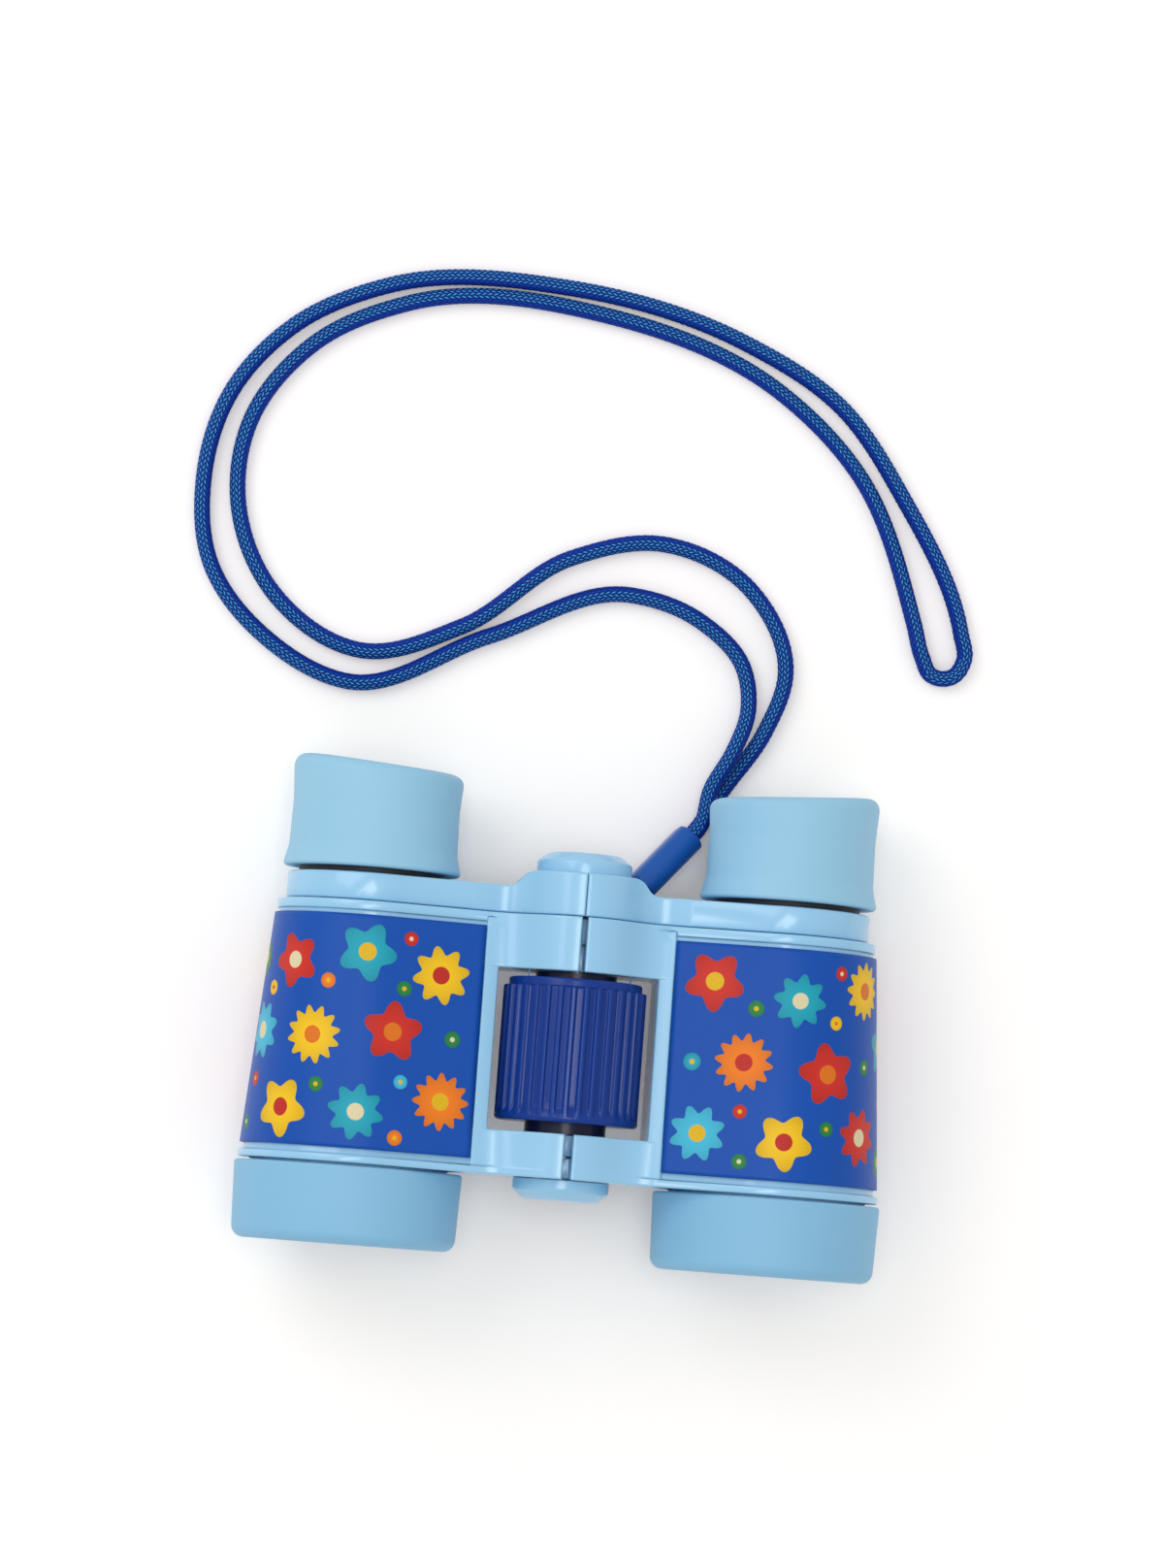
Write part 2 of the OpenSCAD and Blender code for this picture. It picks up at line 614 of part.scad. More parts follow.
// Hollow-faced eye lens
module eye_lens() at_barrel() difference() {
    rod(eye_bore_r - fit, eye_ledge_y, eye_ledge_y + eye_lens_edge);
    translate([0, eye_ledge_y + eye_lens_edge + eye_lens_curve, 0])
        sphere(eye_lens_curve + sag(eye_lens_curve, eye_bore_r - eye_lens_flat));
}

module right_eye_lens() color(GLASS) lie() eye_lens();

module left_eye_lens() color(GLASS) lie() left() eye_lens();

module eye_retainer() at_barrel()
    ring(eye_bore_r - fit, eye_bore_r - eye_ring, eye_ledge_y + eye_lens_edge, tube_top_y - eye_ring_inset);

module right_eye_retainer() color(DARK) lie() eye_retainer();

module left_eye_retainer() color(DARK) lie() left() eye_retainer();

// Soft eyecup with a flared skirt and a rim that rises to the outer side
module eyecup() {
    top = eyecup_y + eyecup_rise + 1;
    slant = atan(eyecup_rise / eyecup_r);
    lip_r = tube_r + fit - eyecup_lip;
    at_barrel() difference() {
        turned(concat(
            arc([skirt_r - touch_round, skirt_y + touch_round], touch_round, -90, 0),
            [
                [eyecup_r, skirt_y + skirt_h], [eyecup_r, top], [eye_mouth_r, top],
                [eye_mouth_r, eyecup_y - eye_mouth_depth], [lip_r, tube_top_y + eyecup_lip_h],
                [lip_r, tube_top_y], [tube_r + fit, tube_top_y], [tube_r + fit, skirt_y]
            ]
        ));
        translate([0, eyecup_y, 0]) rotate([0, 0, slant]) translate([-far, 0, -far]) cube(2 * far);
    }
}

module right_eyecup() color(CUP_BLUE) lie() eyecup();

module left_eyecup() color(CUP_BLUE) lie() left() eyecup();

// Fluted wheel with rounded ends and a smooth band at each end
module focus_wheel() color(WHEEL_BLUE) lie() at_hinge() difference() {
    turned(concat(
        [[nut_r + fit, wheel_foot_y]],
        arc([wheel_r - wheel_round, wheel_foot_y + wheel_round], wheel_round, -90, 0),
        arc([wheel_r - wheel_round, wheel_top_y - wheel_round], wheel_round, 0, 90),
        [[nut_r + fit, wheel_top_y]]
    ));
    for (i = [0 : flute_count - 1]) rotate([0, i * 360 / flute_count, 0])
        translate([wheel_r + flute_r / 4, 0, 0])
            rod(flute_r, wheel_foot_y + wheel_band, wheel_top_y - wheel_band);
}

// Nut pressed into the wheel: the stem's thread runs in its upper bore and the hinge pin in its lower one
module focus_nut() color(BRASS) lie() at_hinge() difference() {
    rod(nut_r, wheel_foot_y, wheel_top_y);
    rod(stem_r + fit, wheel_top_y - stem_inside - 1, wheel_top_y + 1);
    rod(pin_r + fit, wheel_foot_y - 1, wheel_foot_y + pin_inside + 1);
}

module upper_washer() color(DARK) lie() at_hinge()
    ring(washer_r, stem_r + clear, wheel_top_y, window_top_y - end_play);

module lower_washer() color(DARK) lie() at_hinge()
    ring(washer_r, pin_r + clear, window_foot_y + end_play, wheel_foot_y);

// Stem that hangs from the bridge and the cap, and is screwed into the wheel's nut
module focus_stem() color(STEEL) lie() at_hinge()
    rod(stem_r, wheel_top_y - stem_inside, boss_top_y + top_cap_h - cap_skin);

module hinge_bush() color(STEEL) lie() at_hinge() ring(bush_r, stem_r + fit, window_top_y, 0);

module hinge_pin() color(STEEL) lie() at_hinge()
    rod(pin_r, cap_skin - body_len - foot_cap_h, wheel_foot_y + pin_inside);

// Bevelled cap with a blind hole, closed at y1
module cap(r, hole_r, y0, y1, depth) {
    way = sign(y1 - y0);
    difference() {
        turned([
            [0, y0], [r, y0], [r, y1 - way * cap_bevel * 1.4],
            [r - cap_bevel * 0.5, y1 - way * cap_bevel * 0.5], [r - cap_bevel * 1.4, y1], [0, y1]
        ]);
        rod(hole_r, min(y0 - way, y0 + way * depth), max(y0 - way, y0 + way * depth));
    }
}

module top_cap() color(CUP_BLUE) lie() at_hinge()
    cap(top_cap_r, stem_r + fit, boss_top_y, boss_top_y + top_cap_h, top_cap_h - cap_skin);

module foot_cap() color(CUP_BLUE) lie() at_hinge()
    cap(foot_cap_r, pin_r + fit, -body_len - end_play, -body_len - foot_cap_h, foot_cap_h - cap_skin);

// Oval sleeve with two holes, one above the other, that grips both strands of the cord
module cord_ferrule() color(CORD_BLUE) translate(ferrule_mouth) rotate([0, 0, ferrule_turn])
    rotate([0, 90 + ferrule_dip, 0]) translate([0, 0, -ferrule_len]) difference() {
        linear_extrude(ferrule_len) polygon(concat(
            arc([strand_off, 0], strand_r + ferrule_wall, -90, 90, 14),
            arc([-strand_off, 0], strand_r + ferrule_wall, 90, 270, 14)
        ));
        for (side = [-1, 1]) translate([side * strand_off, 0, -1]) cylinder(h = ferrule_len + 2, r = strand_r);
    }

// Bearing of a smooth curve at point i of a list, from the two stretches that meet there
function bearing(p, i) = let (a = p[i] - p[i - 1], b = p[i + 1] - p[i], way = a / (a * a) + b / (b * b))
    way / norm(way);

// Point at share t of the stretch from point i to the next
function curve_point(p, i, t) = let (h = norm(p[i + 1] - p[i]))
    (1 + 2 * t) * (1 - t) * (1 - t) * p[i] + t * (1 - t) * (1 - t) * h * bearing(p, i)
    + t * t * (3 - 2 * t) * p[i + 1] - t * t * (1 - t) * h * bearing(p, i + 1);

// Points of a smooth curve through all but the first and last of a list, about step apart and never below low
function smooth(p, step, low) = concat(
    [for (i = [1 : len(p) - 3]) let (n = max(1, round(norm(p[i + 1] - p[i]) / step)))
        for (k = [0 : n - 1]) let (q = curve_point(p, i, k / n)) [q[0], q[1], max(low, q[2])]],
    [p[len(p) - 2]]
);

// Tube of a diameter along a line of points
module tube_along(line, d) {
    count = len(line);
    function way(i) = let (v = line[min(i + 1, count - 1)] - line[max(i - 1, 0)]) v / norm(v);
    function level(i) = let (v = cross([0, 0, 1], way(i))) norm(v) < 0.2 ? [1, 0, 0] : v / norm(v);
    rings = [for (i = [0 : count - 1]) let (w = way(i), x = level(i), y = cross(w, x))
        for (k = [0 : cord_sides - 1]) let (a = 360 * (k + 0.5) / cord_sides)
            line[i] + d / 2 * (cos(a) * x + sin(a) * y)];
    sides = [for (i = [0 : count - 2]) for (k = [0 : cord_sides - 1])
        let (a = i * cord_sides + k, b = i * cord_sides + (k + 1) % cord_sides)
        each [[a, b + cord_sides, b], [a, a + cord_sides, b + cord_sides]]];
    first = [for (k = [0 : cord_sides - 1]) k];
    last = [for (k = [cord_sides - 1 : -1 : 0]) (count - 1) * cord_sides + k];
    polyhedron(rings, concat(sides, [first, last]), convexity = 10);
}

function strand(from, side, reach) = from + side * strand_off * ferrule_up + reach * ferrule_axis;

module neck_cord() color(CORD_BLUE) {
    route = concat(
        [for (reach = [-2 * strand_grip, -strand_grip, strand_grip]) strand(ferrule_mouth, 1, reach)],
        cord_points,
        [for (reach = [strand_grip, -strand_grip, -2 * strand_grip]) strand(ferrule_mouth, -1, reach)]
    );
    tube_along(smooth(route, 3.2 * cord_d, cord_z), cord_d);
}

// Bight of the cord behind the ferrule, round the bar on the right barrel
module cord_loop() color(CORD_BLUE) {
    bar_z = -web_depth - cord_d - clear - cord_bar_r;
    turn_r = cord_bar_r + cord_d / 2 + clear / 2;
    bar = [cord_bar_x, cord_bar_y * cos(rest_tilt) + bar_z * sin(rest_tilt) + rest_y,
        bar_z * cos(rest_tilt) - cord_bar_y * sin(rest_tilt) + rest_z];
    bend = [for (a = [90 : 30 : 270]) bar + turn_r * [0, cos(a), sin(a)]];
    route = concat(
        [for (reach = [2 * strand_grip, strand_grip, -strand_grip / 2]) strand(ferrule_back, 1, reach)],
        bend,
        [for (reach = [-strand_grip / 2, strand_grip, 2 * strand_grip]) strand(ferrule_back, -1, reach)]
    );
    tube_along(smooth(route, cord_d, cord_z), cord_d);
}

right_barrel();
left_barrel();
right_wrap();
left_wrap();
right_objective_cup();
left_objective_cup();
right_objective_lens();
left_objective_lens();
right_lens_retainer();
left_lens_retainer();
right_bridge();
left_bridge();
right_eyepiece_tube();
left_eyepiece_tube();
right_eye_lens();
left_eye_lens();
right_eye_retainer();
left_eye_retainer();
right_eyecup();
left_eyecup();
focus_wheel();
focus_nut();
upper_washer();
lower_washer();
focus_stem();
hinge_bush();
hinge_pin();
top_cap();
foot_cap();
cord_ferrule();
cord_loop();
neck_cord();
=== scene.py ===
import math

import bmesh
import bpy
import numpy as np
from mathutils import Matrix, Vector


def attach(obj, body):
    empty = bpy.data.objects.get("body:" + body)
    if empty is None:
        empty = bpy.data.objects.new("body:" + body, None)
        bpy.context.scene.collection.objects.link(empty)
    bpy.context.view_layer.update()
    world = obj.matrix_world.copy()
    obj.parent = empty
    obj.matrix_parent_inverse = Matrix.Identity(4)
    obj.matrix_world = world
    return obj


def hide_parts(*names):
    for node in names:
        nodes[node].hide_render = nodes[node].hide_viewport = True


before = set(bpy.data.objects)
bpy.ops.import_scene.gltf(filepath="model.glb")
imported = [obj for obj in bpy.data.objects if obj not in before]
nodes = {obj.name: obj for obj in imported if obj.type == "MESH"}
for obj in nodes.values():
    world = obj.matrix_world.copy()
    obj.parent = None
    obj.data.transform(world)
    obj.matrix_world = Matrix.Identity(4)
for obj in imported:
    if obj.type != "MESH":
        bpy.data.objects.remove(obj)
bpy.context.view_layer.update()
scene = bpy.context.scene
scene.view_settings.view_transform = "Standard"


# Camera: a long lens above the table, a little to the left of the binoculars, looking almost straight down.
# It is turned about its own axis, so that they lean clockwise in the picture.
camera_place = Vector((-0.08666, 0.03692, 1.17740))
camera_ahead = Vector((0.0734, 0.0059, -0.9973)).normalized()
camera_right = camera_ahead.cross(Vector((-0.0820, 0.9966, 0.0))).normalized()
camera_up = camera_right.cross(camera_ahead)
camera_turn = Matrix((camera_right, camera_up, -camera_ahead)).transposed().to_4x4()
camera_lens = bpy.data.cameras.new("camera")
camera_lens.sensor_fit = "VERTICAL"
camera_lens.sensor_height = 36
camera_lens.lens = 144.13
camera_lens.clip_start = 0.01
camera = bpy.data.objects.new("camera", camera_lens)
camera.matrix_world = Matrix.Translation(camera_place) @ camera_turn
scene.collection.objects.link(camera)
scene.camera = camera


# Studio: a white table top in a pale room, a big soft lamp at the upper left and a smaller one above. What
# the camera, gloss and glass see of the table is lifted a little, so that it is white with soft shadows.
floor_half = 1.5
floor_level = -0.0002
floor_corners = np.array([(-1, -1), (1, -1), (1, 1), (-1, 1)]) * floor_half
floor_mesh = bpy.data.meshes.new("table")
floor_mesh.from_pydata(np.column_stack([floor_corners, np.full(4, floor_level)]), [], [(0, 1, 2, 3)])
floor = bpy.data.objects.new("table", floor_mesh)
scene.collection.objects.link(floor)


def material(name):
    """A new material, with its node tree and its Principled BSDF."""
    mat = bpy.data.materials.new(name)
    mat.use_nodes = True
    return mat, mat.node_tree, mat.node_tree.nodes["Principled BSDF"]


def feed(tree, node, inputs):
    """Sets a node's inputs: another node's socket is linked, and anything else is the input's own value."""
    for key, value in inputs.items():
        if isinstance(value, bpy.types.NodeSocket):
            tree.links.new(value, node.inputs[key])
        else:
            node.inputs[key].default_value = value


def add(tree, kind, inputs=None, **settings):
    """A new node with its settings made and its inputs fed."""
    node = tree.nodes.new(kind)
    for key, value in settings.items():
        setattr(node, key, value)
    feed(tree, node, inputs or {})
    return node


def math_node(tree, operation, *values):
    """Output of a Math node on up to three values or sockets."""
    return add(tree, "ShaderNodeMath", dict(enumerate(values)), operation=operation).outputs[0]


paper_lift = 0.14
paper, tree, shader = material("white table")
rays = add(tree, "ShaderNodeLightPath").outputs
mirrored = math_node(tree, "MAXIMUM", rays["Is Glossy Ray"], rays["Is Transmission Ray"])
seen = math_node(tree, "MAXIMUM", rays["Is Camera Ray"], mirrored)
feed(tree, shader, {
    "Base Color": (0.97, 0.967, 0.96, 1),
    "Roughness": 0.8,
    "Specular IOR Level": 0.2,
    "Emission Color": (1.0, 0.86, 0.72, 1),
    "Emission Strength": math_node(tree, "MULTIPLY", seen, paper_lift),
})
floor_mesh.materials.append(paper)

room_strength = 0.67
room = bpy.data.worlds.new("pale room")
room.use_nodes = True
feed(room.node_tree, room.node_tree.nodes["Background"], {"Color": (1, 1, 1, 1), "Strength": room_strength})
scene.world = room

lamp_aim = Vector((0, 0.03, 0.01))


def soft_lamp(name, place, size, power):
    """A square area lamp at a place, turned to the middle of the binoculars."""
    light = bpy.data.lights.new(name, "AREA")
    light.size = size
    light.energy = power
    lamp = bpy.data.objects.new(name, light)
    lamp.location = place
    lamp.rotation_euler = (lamp_aim - Vector(place)).to_track_quat("-Z", "Y").to_euler()
    scene.collection.objects.link(lamp)


soft_lamp("window lamp", (-0.65, 0.5, 0.85), 0.7, 3.2)
soft_lamp("top lamp", (-0.06, 0.06, 1.28), 0.4, 3.0)


# Neck cord: a limp tubular braid of sixteen plaits of shiny blue yarn. Its colour holds a painted sheen of
# light blue flecks on the stitch crowns, strongest in a few plaits along one side, and painted shade in the
# gaps.
# It is one length, doubled, whose ends are gripped in the ferrule behind the right half of the bridge. A
# short loop of the same braid runs from the ferrule round a bar on the back of the right barrel.
cord_d = 0.0032
ferrule_mouth = np.array([20.5, 35.5, 5.4]) / 1000
ferrule_len = 0.014
ferrule_turn = math.radians(49)
ferrule_dip = math.radians(14)
ferrule_bearing = np.array([math.cos(ferrule_turn), math.sin(ferrule_turn), 0])
plumb = np.array([0, 0, 1.0])
ferrule_axis = math.cos(ferrule_dip) * ferrule_bearing - math.sin(ferrule_dip) * plumb
ferrule_up = math.sin(ferrule_dip) * ferrule_bearing + math.cos(ferrule_dip) * plumb
strand_off = 0.0018
strand_grip = 0.002
cord_points = np.array([
    (24, 45, 4.7), (27.5, 52, 4.4), (30, 61, 1.8), (28.5, 68, 1.6), (20, 76, 1.6), (6, 80, 1.6),
    (-20, 70, 1.6), (-46, 59.5, 1.6), (-61, 66, 1.6), (-73, 79.5, 1.6), (-75.5, 95, 1.6), (-72, 111, 1.6),
    (-61, 125, 1.6), (-44, 134, 1.6), (-10, 136.5, 1.6), (24, 129, 1.6), (43, 118.5, 1.6), (56, 102.5, 1.6),
    (69, 78, 1.6), (70, 73, 1.6), (68, 69.7, 1.6), (64, 69.7, 1.6), (62, 73, 1.6), (60, 79, 1.6),
    (47, 106.5, 1.6), (31, 120.5, 1.6), (-3, 132, 1.6), (-40, 131, 1.6), (-57.5, 121.5, 1.6),
    (-68, 105.5, 1.6), (-68.5, 90, 1.6), (-60, 74, 1.6), (-44, 65.5, 1.6), (-25, 71.5, 1.6),
    (-5.5, 86, 1.6), (12, 90, 1.6), (29, 82.5, 1.6), (36.5, 68, 1.6), (33.5, 56.5, 1.6), (26.5, 45, 1.6),
]) / 1000
plait_count = 16
plait_pitch = 0.0011
plait_height = 0.0002
plait_slant = 0.9
plait_stagger = 0.25
braid_sides = 48
braid_step = 0.00041
stretch_steps = 80


def strand(start, side, reaches):
    """Points on the upper (side 1) or lower (side -1) strand's line, at reaches along it from a start."""
    return start + side * strand_off * ferrule_up + np.outer(reaches, ferrule_axis)


def smooth_line(points):
    """Even points on a smooth cubic curve through all but the first and last point, a radius or more above
    the table. The bearing at a point is the mean of its two stretches, each over its length squared."""
    a = points[1:-1] - points[:-2]
    b = points[2:] - points[1:-1]
    bearing = a / (a * a).sum(1, keepdims=True) + b / (b * b).sum(1, keepdims=True)
    bearing /= np.linalg.norm(bearing, axis=1, keepdims=True)
    t = np.linspace(0, 1, stretch_steps, endpoint=False)[None, :, None]
    p = points[1:-2, None]
    q = points[2:-1, None]
    h = np.linalg.norm(q - p, axis=2, keepdims=True)
    curve = ((1 + 2 * t) * (1 - t) ** 2 * p + t * (1 - t) ** 2 * h * bearing[:-1, None]
             + t * t * (3 - 2 * t) * q - t * t * (1 - t) * h * bearing[1:, None])
    curve = np.vstack([curve.reshape(-1, 3), points[-2:-1]])
    curve[:, 2] = np.maximum(curve[:, 2], cord_d / 2)
    reach = np.concatenate([[0], np.cumsum(np.linalg.norm(np.diff(curve, axis=0), axis=1))])
    even = np.linspace(0, reach[-1], round(reach[-1] / braid_step))
    return np.column_stack([np.interp(even, reach, curve[:, k]) for k in range(3)]), even


def grid_faces(rows, columns, close_rows, close_columns):
    """Corner numbers of the quads of a grid of points, joined end to end in each closed direction."""
    row = np.arange(rows if close_rows else rows - 1)
    column = np.arange(columns if close_columns else columns - 1)
    i, j = [corner.ravel() for corner in np.meshgrid(row, column, indexing="ij")]
    k = (i + 1) % rows
    m = (j + 1) % columns
    return np.column_stack([i * columns + j, i * columns + m, k * columns + m, k * columns + j])


def ride_piece(name, mesh, body, slot, *replaced):
    """A new smooth piece that rides on a body and hides the CAD nodes it stands for. Its finish slot is not
    used.
    """
    mesh.shade_smooth()
    piece = bpy.data.objects.new(name, mesh)
    scene.collection.objects.link(piece)
    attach(piece, body)
    if replaced:
        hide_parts(*replaced)
    return piece


def braided_tube(name, line, reach, level, replaced):
    """Tube along a line whose radius swells with each stitch. A stitch is a slanted bump: its phase runs
    along the cord, and leans one way in even plaits and the other way, half a stitch on, in odd ones. The
    map is in stitches along the cord and plaits round it."""
    way = np.gradient(line, axis=0)
    way /= np.linalg.norm(way, axis=1, keepdims=True)
    level = level - (level * way).sum(1, keepdims=True) * way
    level /= np.linalg.norm(level, axis=1, keepdims=True)
    over = np.cross(way, level)
    plait = np.arange(braid_sides) * plait_count / braid_sides
    lean = np.where(np.floor(plait) % 2 == 0, 1.0, -1.0)
    across = plait % 1 - 0.5
    phase = reach[:, None] / plait_pitch + lean * (across * plait_slant + plait_stagger)
    stitch = (0.5 + 0.5 * np.cos(2 * math.pi * phase)) * np.cos(math.pi * across) ** 2
    radius = cord_d / 2 - plait_height + plait_height * stitch
    turn = 2 * math.pi * plait / plait_count
    ring = np.cos(turn)[None, :, None] * level[:, None] + np.sin(turn)[None, :, None] * over[:, None]
    points = (line[:, None] + radius[..., None] * ring).reshape(-1, 3)
    faces = grid_faces(len(line), braid_sides, False, True)
    first_end = list(range(braid_sides))
    last_end = list(range(len(points) - 1, len(points) - braid_sides - 1, -1))
    mesh = bpy.data.meshes.new(name)
    mesh.from_pydata(points, [], faces[:, ::-1].tolist() + [first_end, last_end])
    column = faces % braid_sides
    column = np.where((column == 0) & (column[:, [0]] > 1), braid_sides, column)
    stitch_along = reach[faces // braid_sides] / plait_pitch
    stitch_map = np.stack([stitch_along, column * plait_count / braid_sides], -1)
    end_map = np.zeros(2 * 2 * braid_sides)
    layer = mesh.uv_layers.new(name="stitch")
    layer.data.foreach_set("uv", np.concatenate([stitch_map[:, ::-1].ravel(), end_map]))
    return ride_piece(name, mesh, "right_half", "cord", replaced)


cord_route = np.vstack([
    strand(ferrule_mouth, 1, (-2 * strand_grip, -strand_grip, strand_grip)),
    cord_points,
    strand(ferrule_mouth, -1, (strand_grip, -strand_grip, -2 * strand_grip)),
])
cord_line, cord_reach = smooth_line(cord_route)
cord_level = np.cross(plumb, np.gradient(cord_line, axis=0))
neck_cord = braided_tube("neck_cord_braid", cord_line, cord_reach, cord_level, "neck_cord")

rest_tilt = math.radians(4.081347)
rest_y = 18.21645
rest_z = 17.51068


def lie(points):
    """Own frame in millimetres (Y along the barrels, z = 0 on their axes) to the row frame in metres: a
    turn by the tilt at which the binoculars lie, then a shift on to the table."""
    x, y, z = np.moveaxis(np.asarray(points, float), -1, 0)
    c = math.cos(rest_tilt)
    s = math.sin(rest_tilt)
    return np.stack([x, y * c + z * s + rest_y, z * c - y * s + rest_z], -1) / 1000


cord_bar = lie((10.4, -2.85, -7.0))
loop_r = 0.00305
loop_bend = np.radians(np.arange(90, 271, 30))
loop_arc = np.column_stack([np.zeros(loop_bend.size), np.cos(loop_bend), np.sin(loop_bend)])
ferrule_back = ferrule_mouth - ferrule_len * ferrule_axis
loop_route = np.vstack([
    strand(ferrule_back, 1, (2 * strand_grip, strand_grip, -strand_grip / 2)),
    cord_bar + loop_r * loop_arc,
    strand(ferrule_back, -1, (-strand_grip / 2, strand_grip, 2 * strand_grip)),
])
loop_line, loop_reach = smooth_line(loop_route)
loop_level = np.tile((1.0, 0, 0), (len(loop_line), 1))
cord_loop = braided_tube("cord_loop_braid", loop_line, loop_reach, loop_level, "cord_loop")


def mixed(tree, factor, first, second):
    """Colour between two others, each a triple or a socket, by a factor."""
    first, second = [end if isinstance(end, bpy.types.NodeSocket) else (*end, 1) for end in (first, second)]
    mix = add(tree, "ShaderNodeMix", {"Factor": factor, "A": first, "B": second}, data_type="RGBA")
    return mix.outputs["Result"]


# Colours of the yarn: a deep and a bright blue, the painted shade in the gaps between stitches, and the
# light blue of the painted sheen.
yarn_deep = (0.001, 0.030, 0.36)
yarn_bright = (0.003, 0.055, 0.58)
yarn_gap_shade = (0.0005, 0.005, 0.06)
yarn_sheen = (0.08, 0.50, 1.0)
sheen_before_fold = 2.5
sheen_after_fold = 4.5
sheen_half = 1.6
fold_from = 300.0
fold_to = 380.0
sheen_power = 2.0
sheen_most = 0.90
sheen_least = 0.10
crown_tone = 0.6
gap_shade_tone = 0.4
lit_gap_shade_drop = -0.22
filament_scale = (1.2, 9, 1)

yarn, tree, shader = material("braided yarn")
stitch_place = add(tree, "ShaderNodeUVMap", uv_map="stitch").outputs[0]
stitch_xy = add(tree, "ShaderNodeSeparateXYZ", {0: stitch_place}).outputs
plait_across = math_node(tree, "SUBTRACT", math_node(tree, "FRACT", stitch_xy[1]), 0.5)
plait_number = math_node(tree, "FLOOR", stitch_xy[1])
plait_odd = math_node(tree, "FLOORED_MODULO", plait_number, 2.0)
plait_lean = math_node(tree, "MULTIPLY_ADD", plait_odd, -2.0, 1.0)
stitch_lean = math_node(tree, "MULTIPLY_ADD", plait_across, plait_slant, plait_stagger)
stitch_phase = math_node(tree, "MULTIPLY_ADD", plait_lean, stitch_lean, stitch_xy[0])
stitch_wave = math_node(tree, "COSINE", math_node(tree, "MULTIPLY", stitch_phase, 2 * math.pi))
stitch_round = math_node(tree, "COSINE", math_node(tree, "MULTIPLY", plait_across, math.pi))
stitch_swell = math_node(tree, "MULTIPLY_ADD", stitch_wave, 0.5, 0.5)
stitch_crown = math_node(tree, "MULTIPLY", stitch_swell, stitch_round)
# Painted sheen: light blue flecks on the stitch crowns, weak on most plaits and strong on a few plaits
# along one side. Between stitch 300 and 380 those plaits shift round the cord.
sheen_middle = add(tree, "ShaderNodeMapRange", {
    "Value": stitch_xy[0],
    "From Min": fold_from, "From Max": fold_to,
    "To Min": sheen_before_fold, "To Max": sheen_after_fold,
}).outputs[0]
sheen_off = math_node(tree, "ABSOLUTE", math_node(tree, "SUBTRACT", plait_number, sheen_middle))
sheen_plaits = math_node(tree, "LESS_THAN", sheen_off, sheen_half)
sheen_share = math_node(tree, "MULTIPLY_ADD", sheen_plaits, sheen_most, sheen_least)
sheen_fleck = math_node(tree, "MULTIPLY", math_node(tree, "POWER", stitch_crown, sheen_power), sheen_share)
filament_map = add(tree, "ShaderNodeMapping", {"Vector": stitch_place, "Scale": filament_scale})
filament_noise = {"Vector": filament_map.outputs[0], "Scale": 1.0, "Detail": 2.0}
filaments = add(tree, "ShaderNodeTexNoise", filament_noise, noise_dimensions="2D").outputs[0]
# Painted shade: the gaps between stitches are darkened, and more so on the plaits that carry the painted
# sheen.
gap_shade_mix = math_node(tree, "MULTIPLY_ADD", sheen_plaits, lit_gap_shade_drop, gap_shade_tone)
stitch_shade_mix = math_node(tree, "MULTIPLY_ADD", stitch_crown, crown_tone, gap_shade_mix)
shaded_yarn_blue = mixed(tree, stitch_shade_mix, yarn_gap_shade, mixed(tree, filaments, yarn_deep, yarn_bright))
yarn_height = math_node(tree, "MULTIPLY_ADD", filaments, 0.2, stitch_crown)
yarn_bump = add(tree, "ShaderNodeBump", {"Height": yarn_height, "Strength": 0.6, "Distance": 0.0002})
feed(tree, shader, {
    "Base Color": mixed(tree, sheen_fleck, shaded_yarn_blue, yarn_sheen),
    "Roughness": 0.5,
    "Specular IOR Level": 0.12,
    "Normal": yarn_bump.outputs[0],
})
neck_cord.data.materials.append(yarn)
cord_loop.data.materials.append(yarn)


# Ferrule: an oval sleeve of moulded glossy blue plastic with rounded ends. It is crimped over both strands
# where the neck cord starts, and holds them one above the other.
arc_steps = 8
weld_gap = 1e-7


def rounded(corners):
    """Closed outline of (radius, y, rounding) corners. Each corner becomes an arc of its rounding, whose
    points lie evenly between the two tangent points, seen from the arc's centre."""
    p = np.array([corner[:2] for corner in corners], float)
    r = np.array([corner[2] for corner in corners], float)[:, None]
    back = np.roll(p, 1, 0) - p
    ahead = np.roll(p, -1, 0) - p
    back /= np.linalg.norm(back, axis=1, keepdims=True)
    ahead /= np.linalg.norm(ahead, axis=1, keepdims=True)
    half = np.arccos(np.clip((back * ahead).sum(1, keepdims=True), -1, 1)) / 2
    middle = back + ahead
    middle /= np.maximum(np.linalg.norm(middle, axis=1, keepdims=True), 1e-9)
    centre = p + middle * r / np.sin(half)
    first = p + back * r / np.tan(half) - centre
    last = p + ahead * r / np.tan(half) - centre
    t = np.linspace(0, 1, arc_steps)[None, :, None]
    sweep = (math.pi - 2 * half)[:, None]
    safe = np.maximum(np.sin(sweep), 1e-6)
    arc = (np.sin((1 - t) * sweep) * first[:, None] + np.sin(t * sweep) * last[:, None]) / safe
    return (centre[:, None] + arc).reshape(-1, 2)


def full_turn(count):
    """Even angles once round."""
    return np.linspace(0, 2 * math.pi, count, endpoint=False)


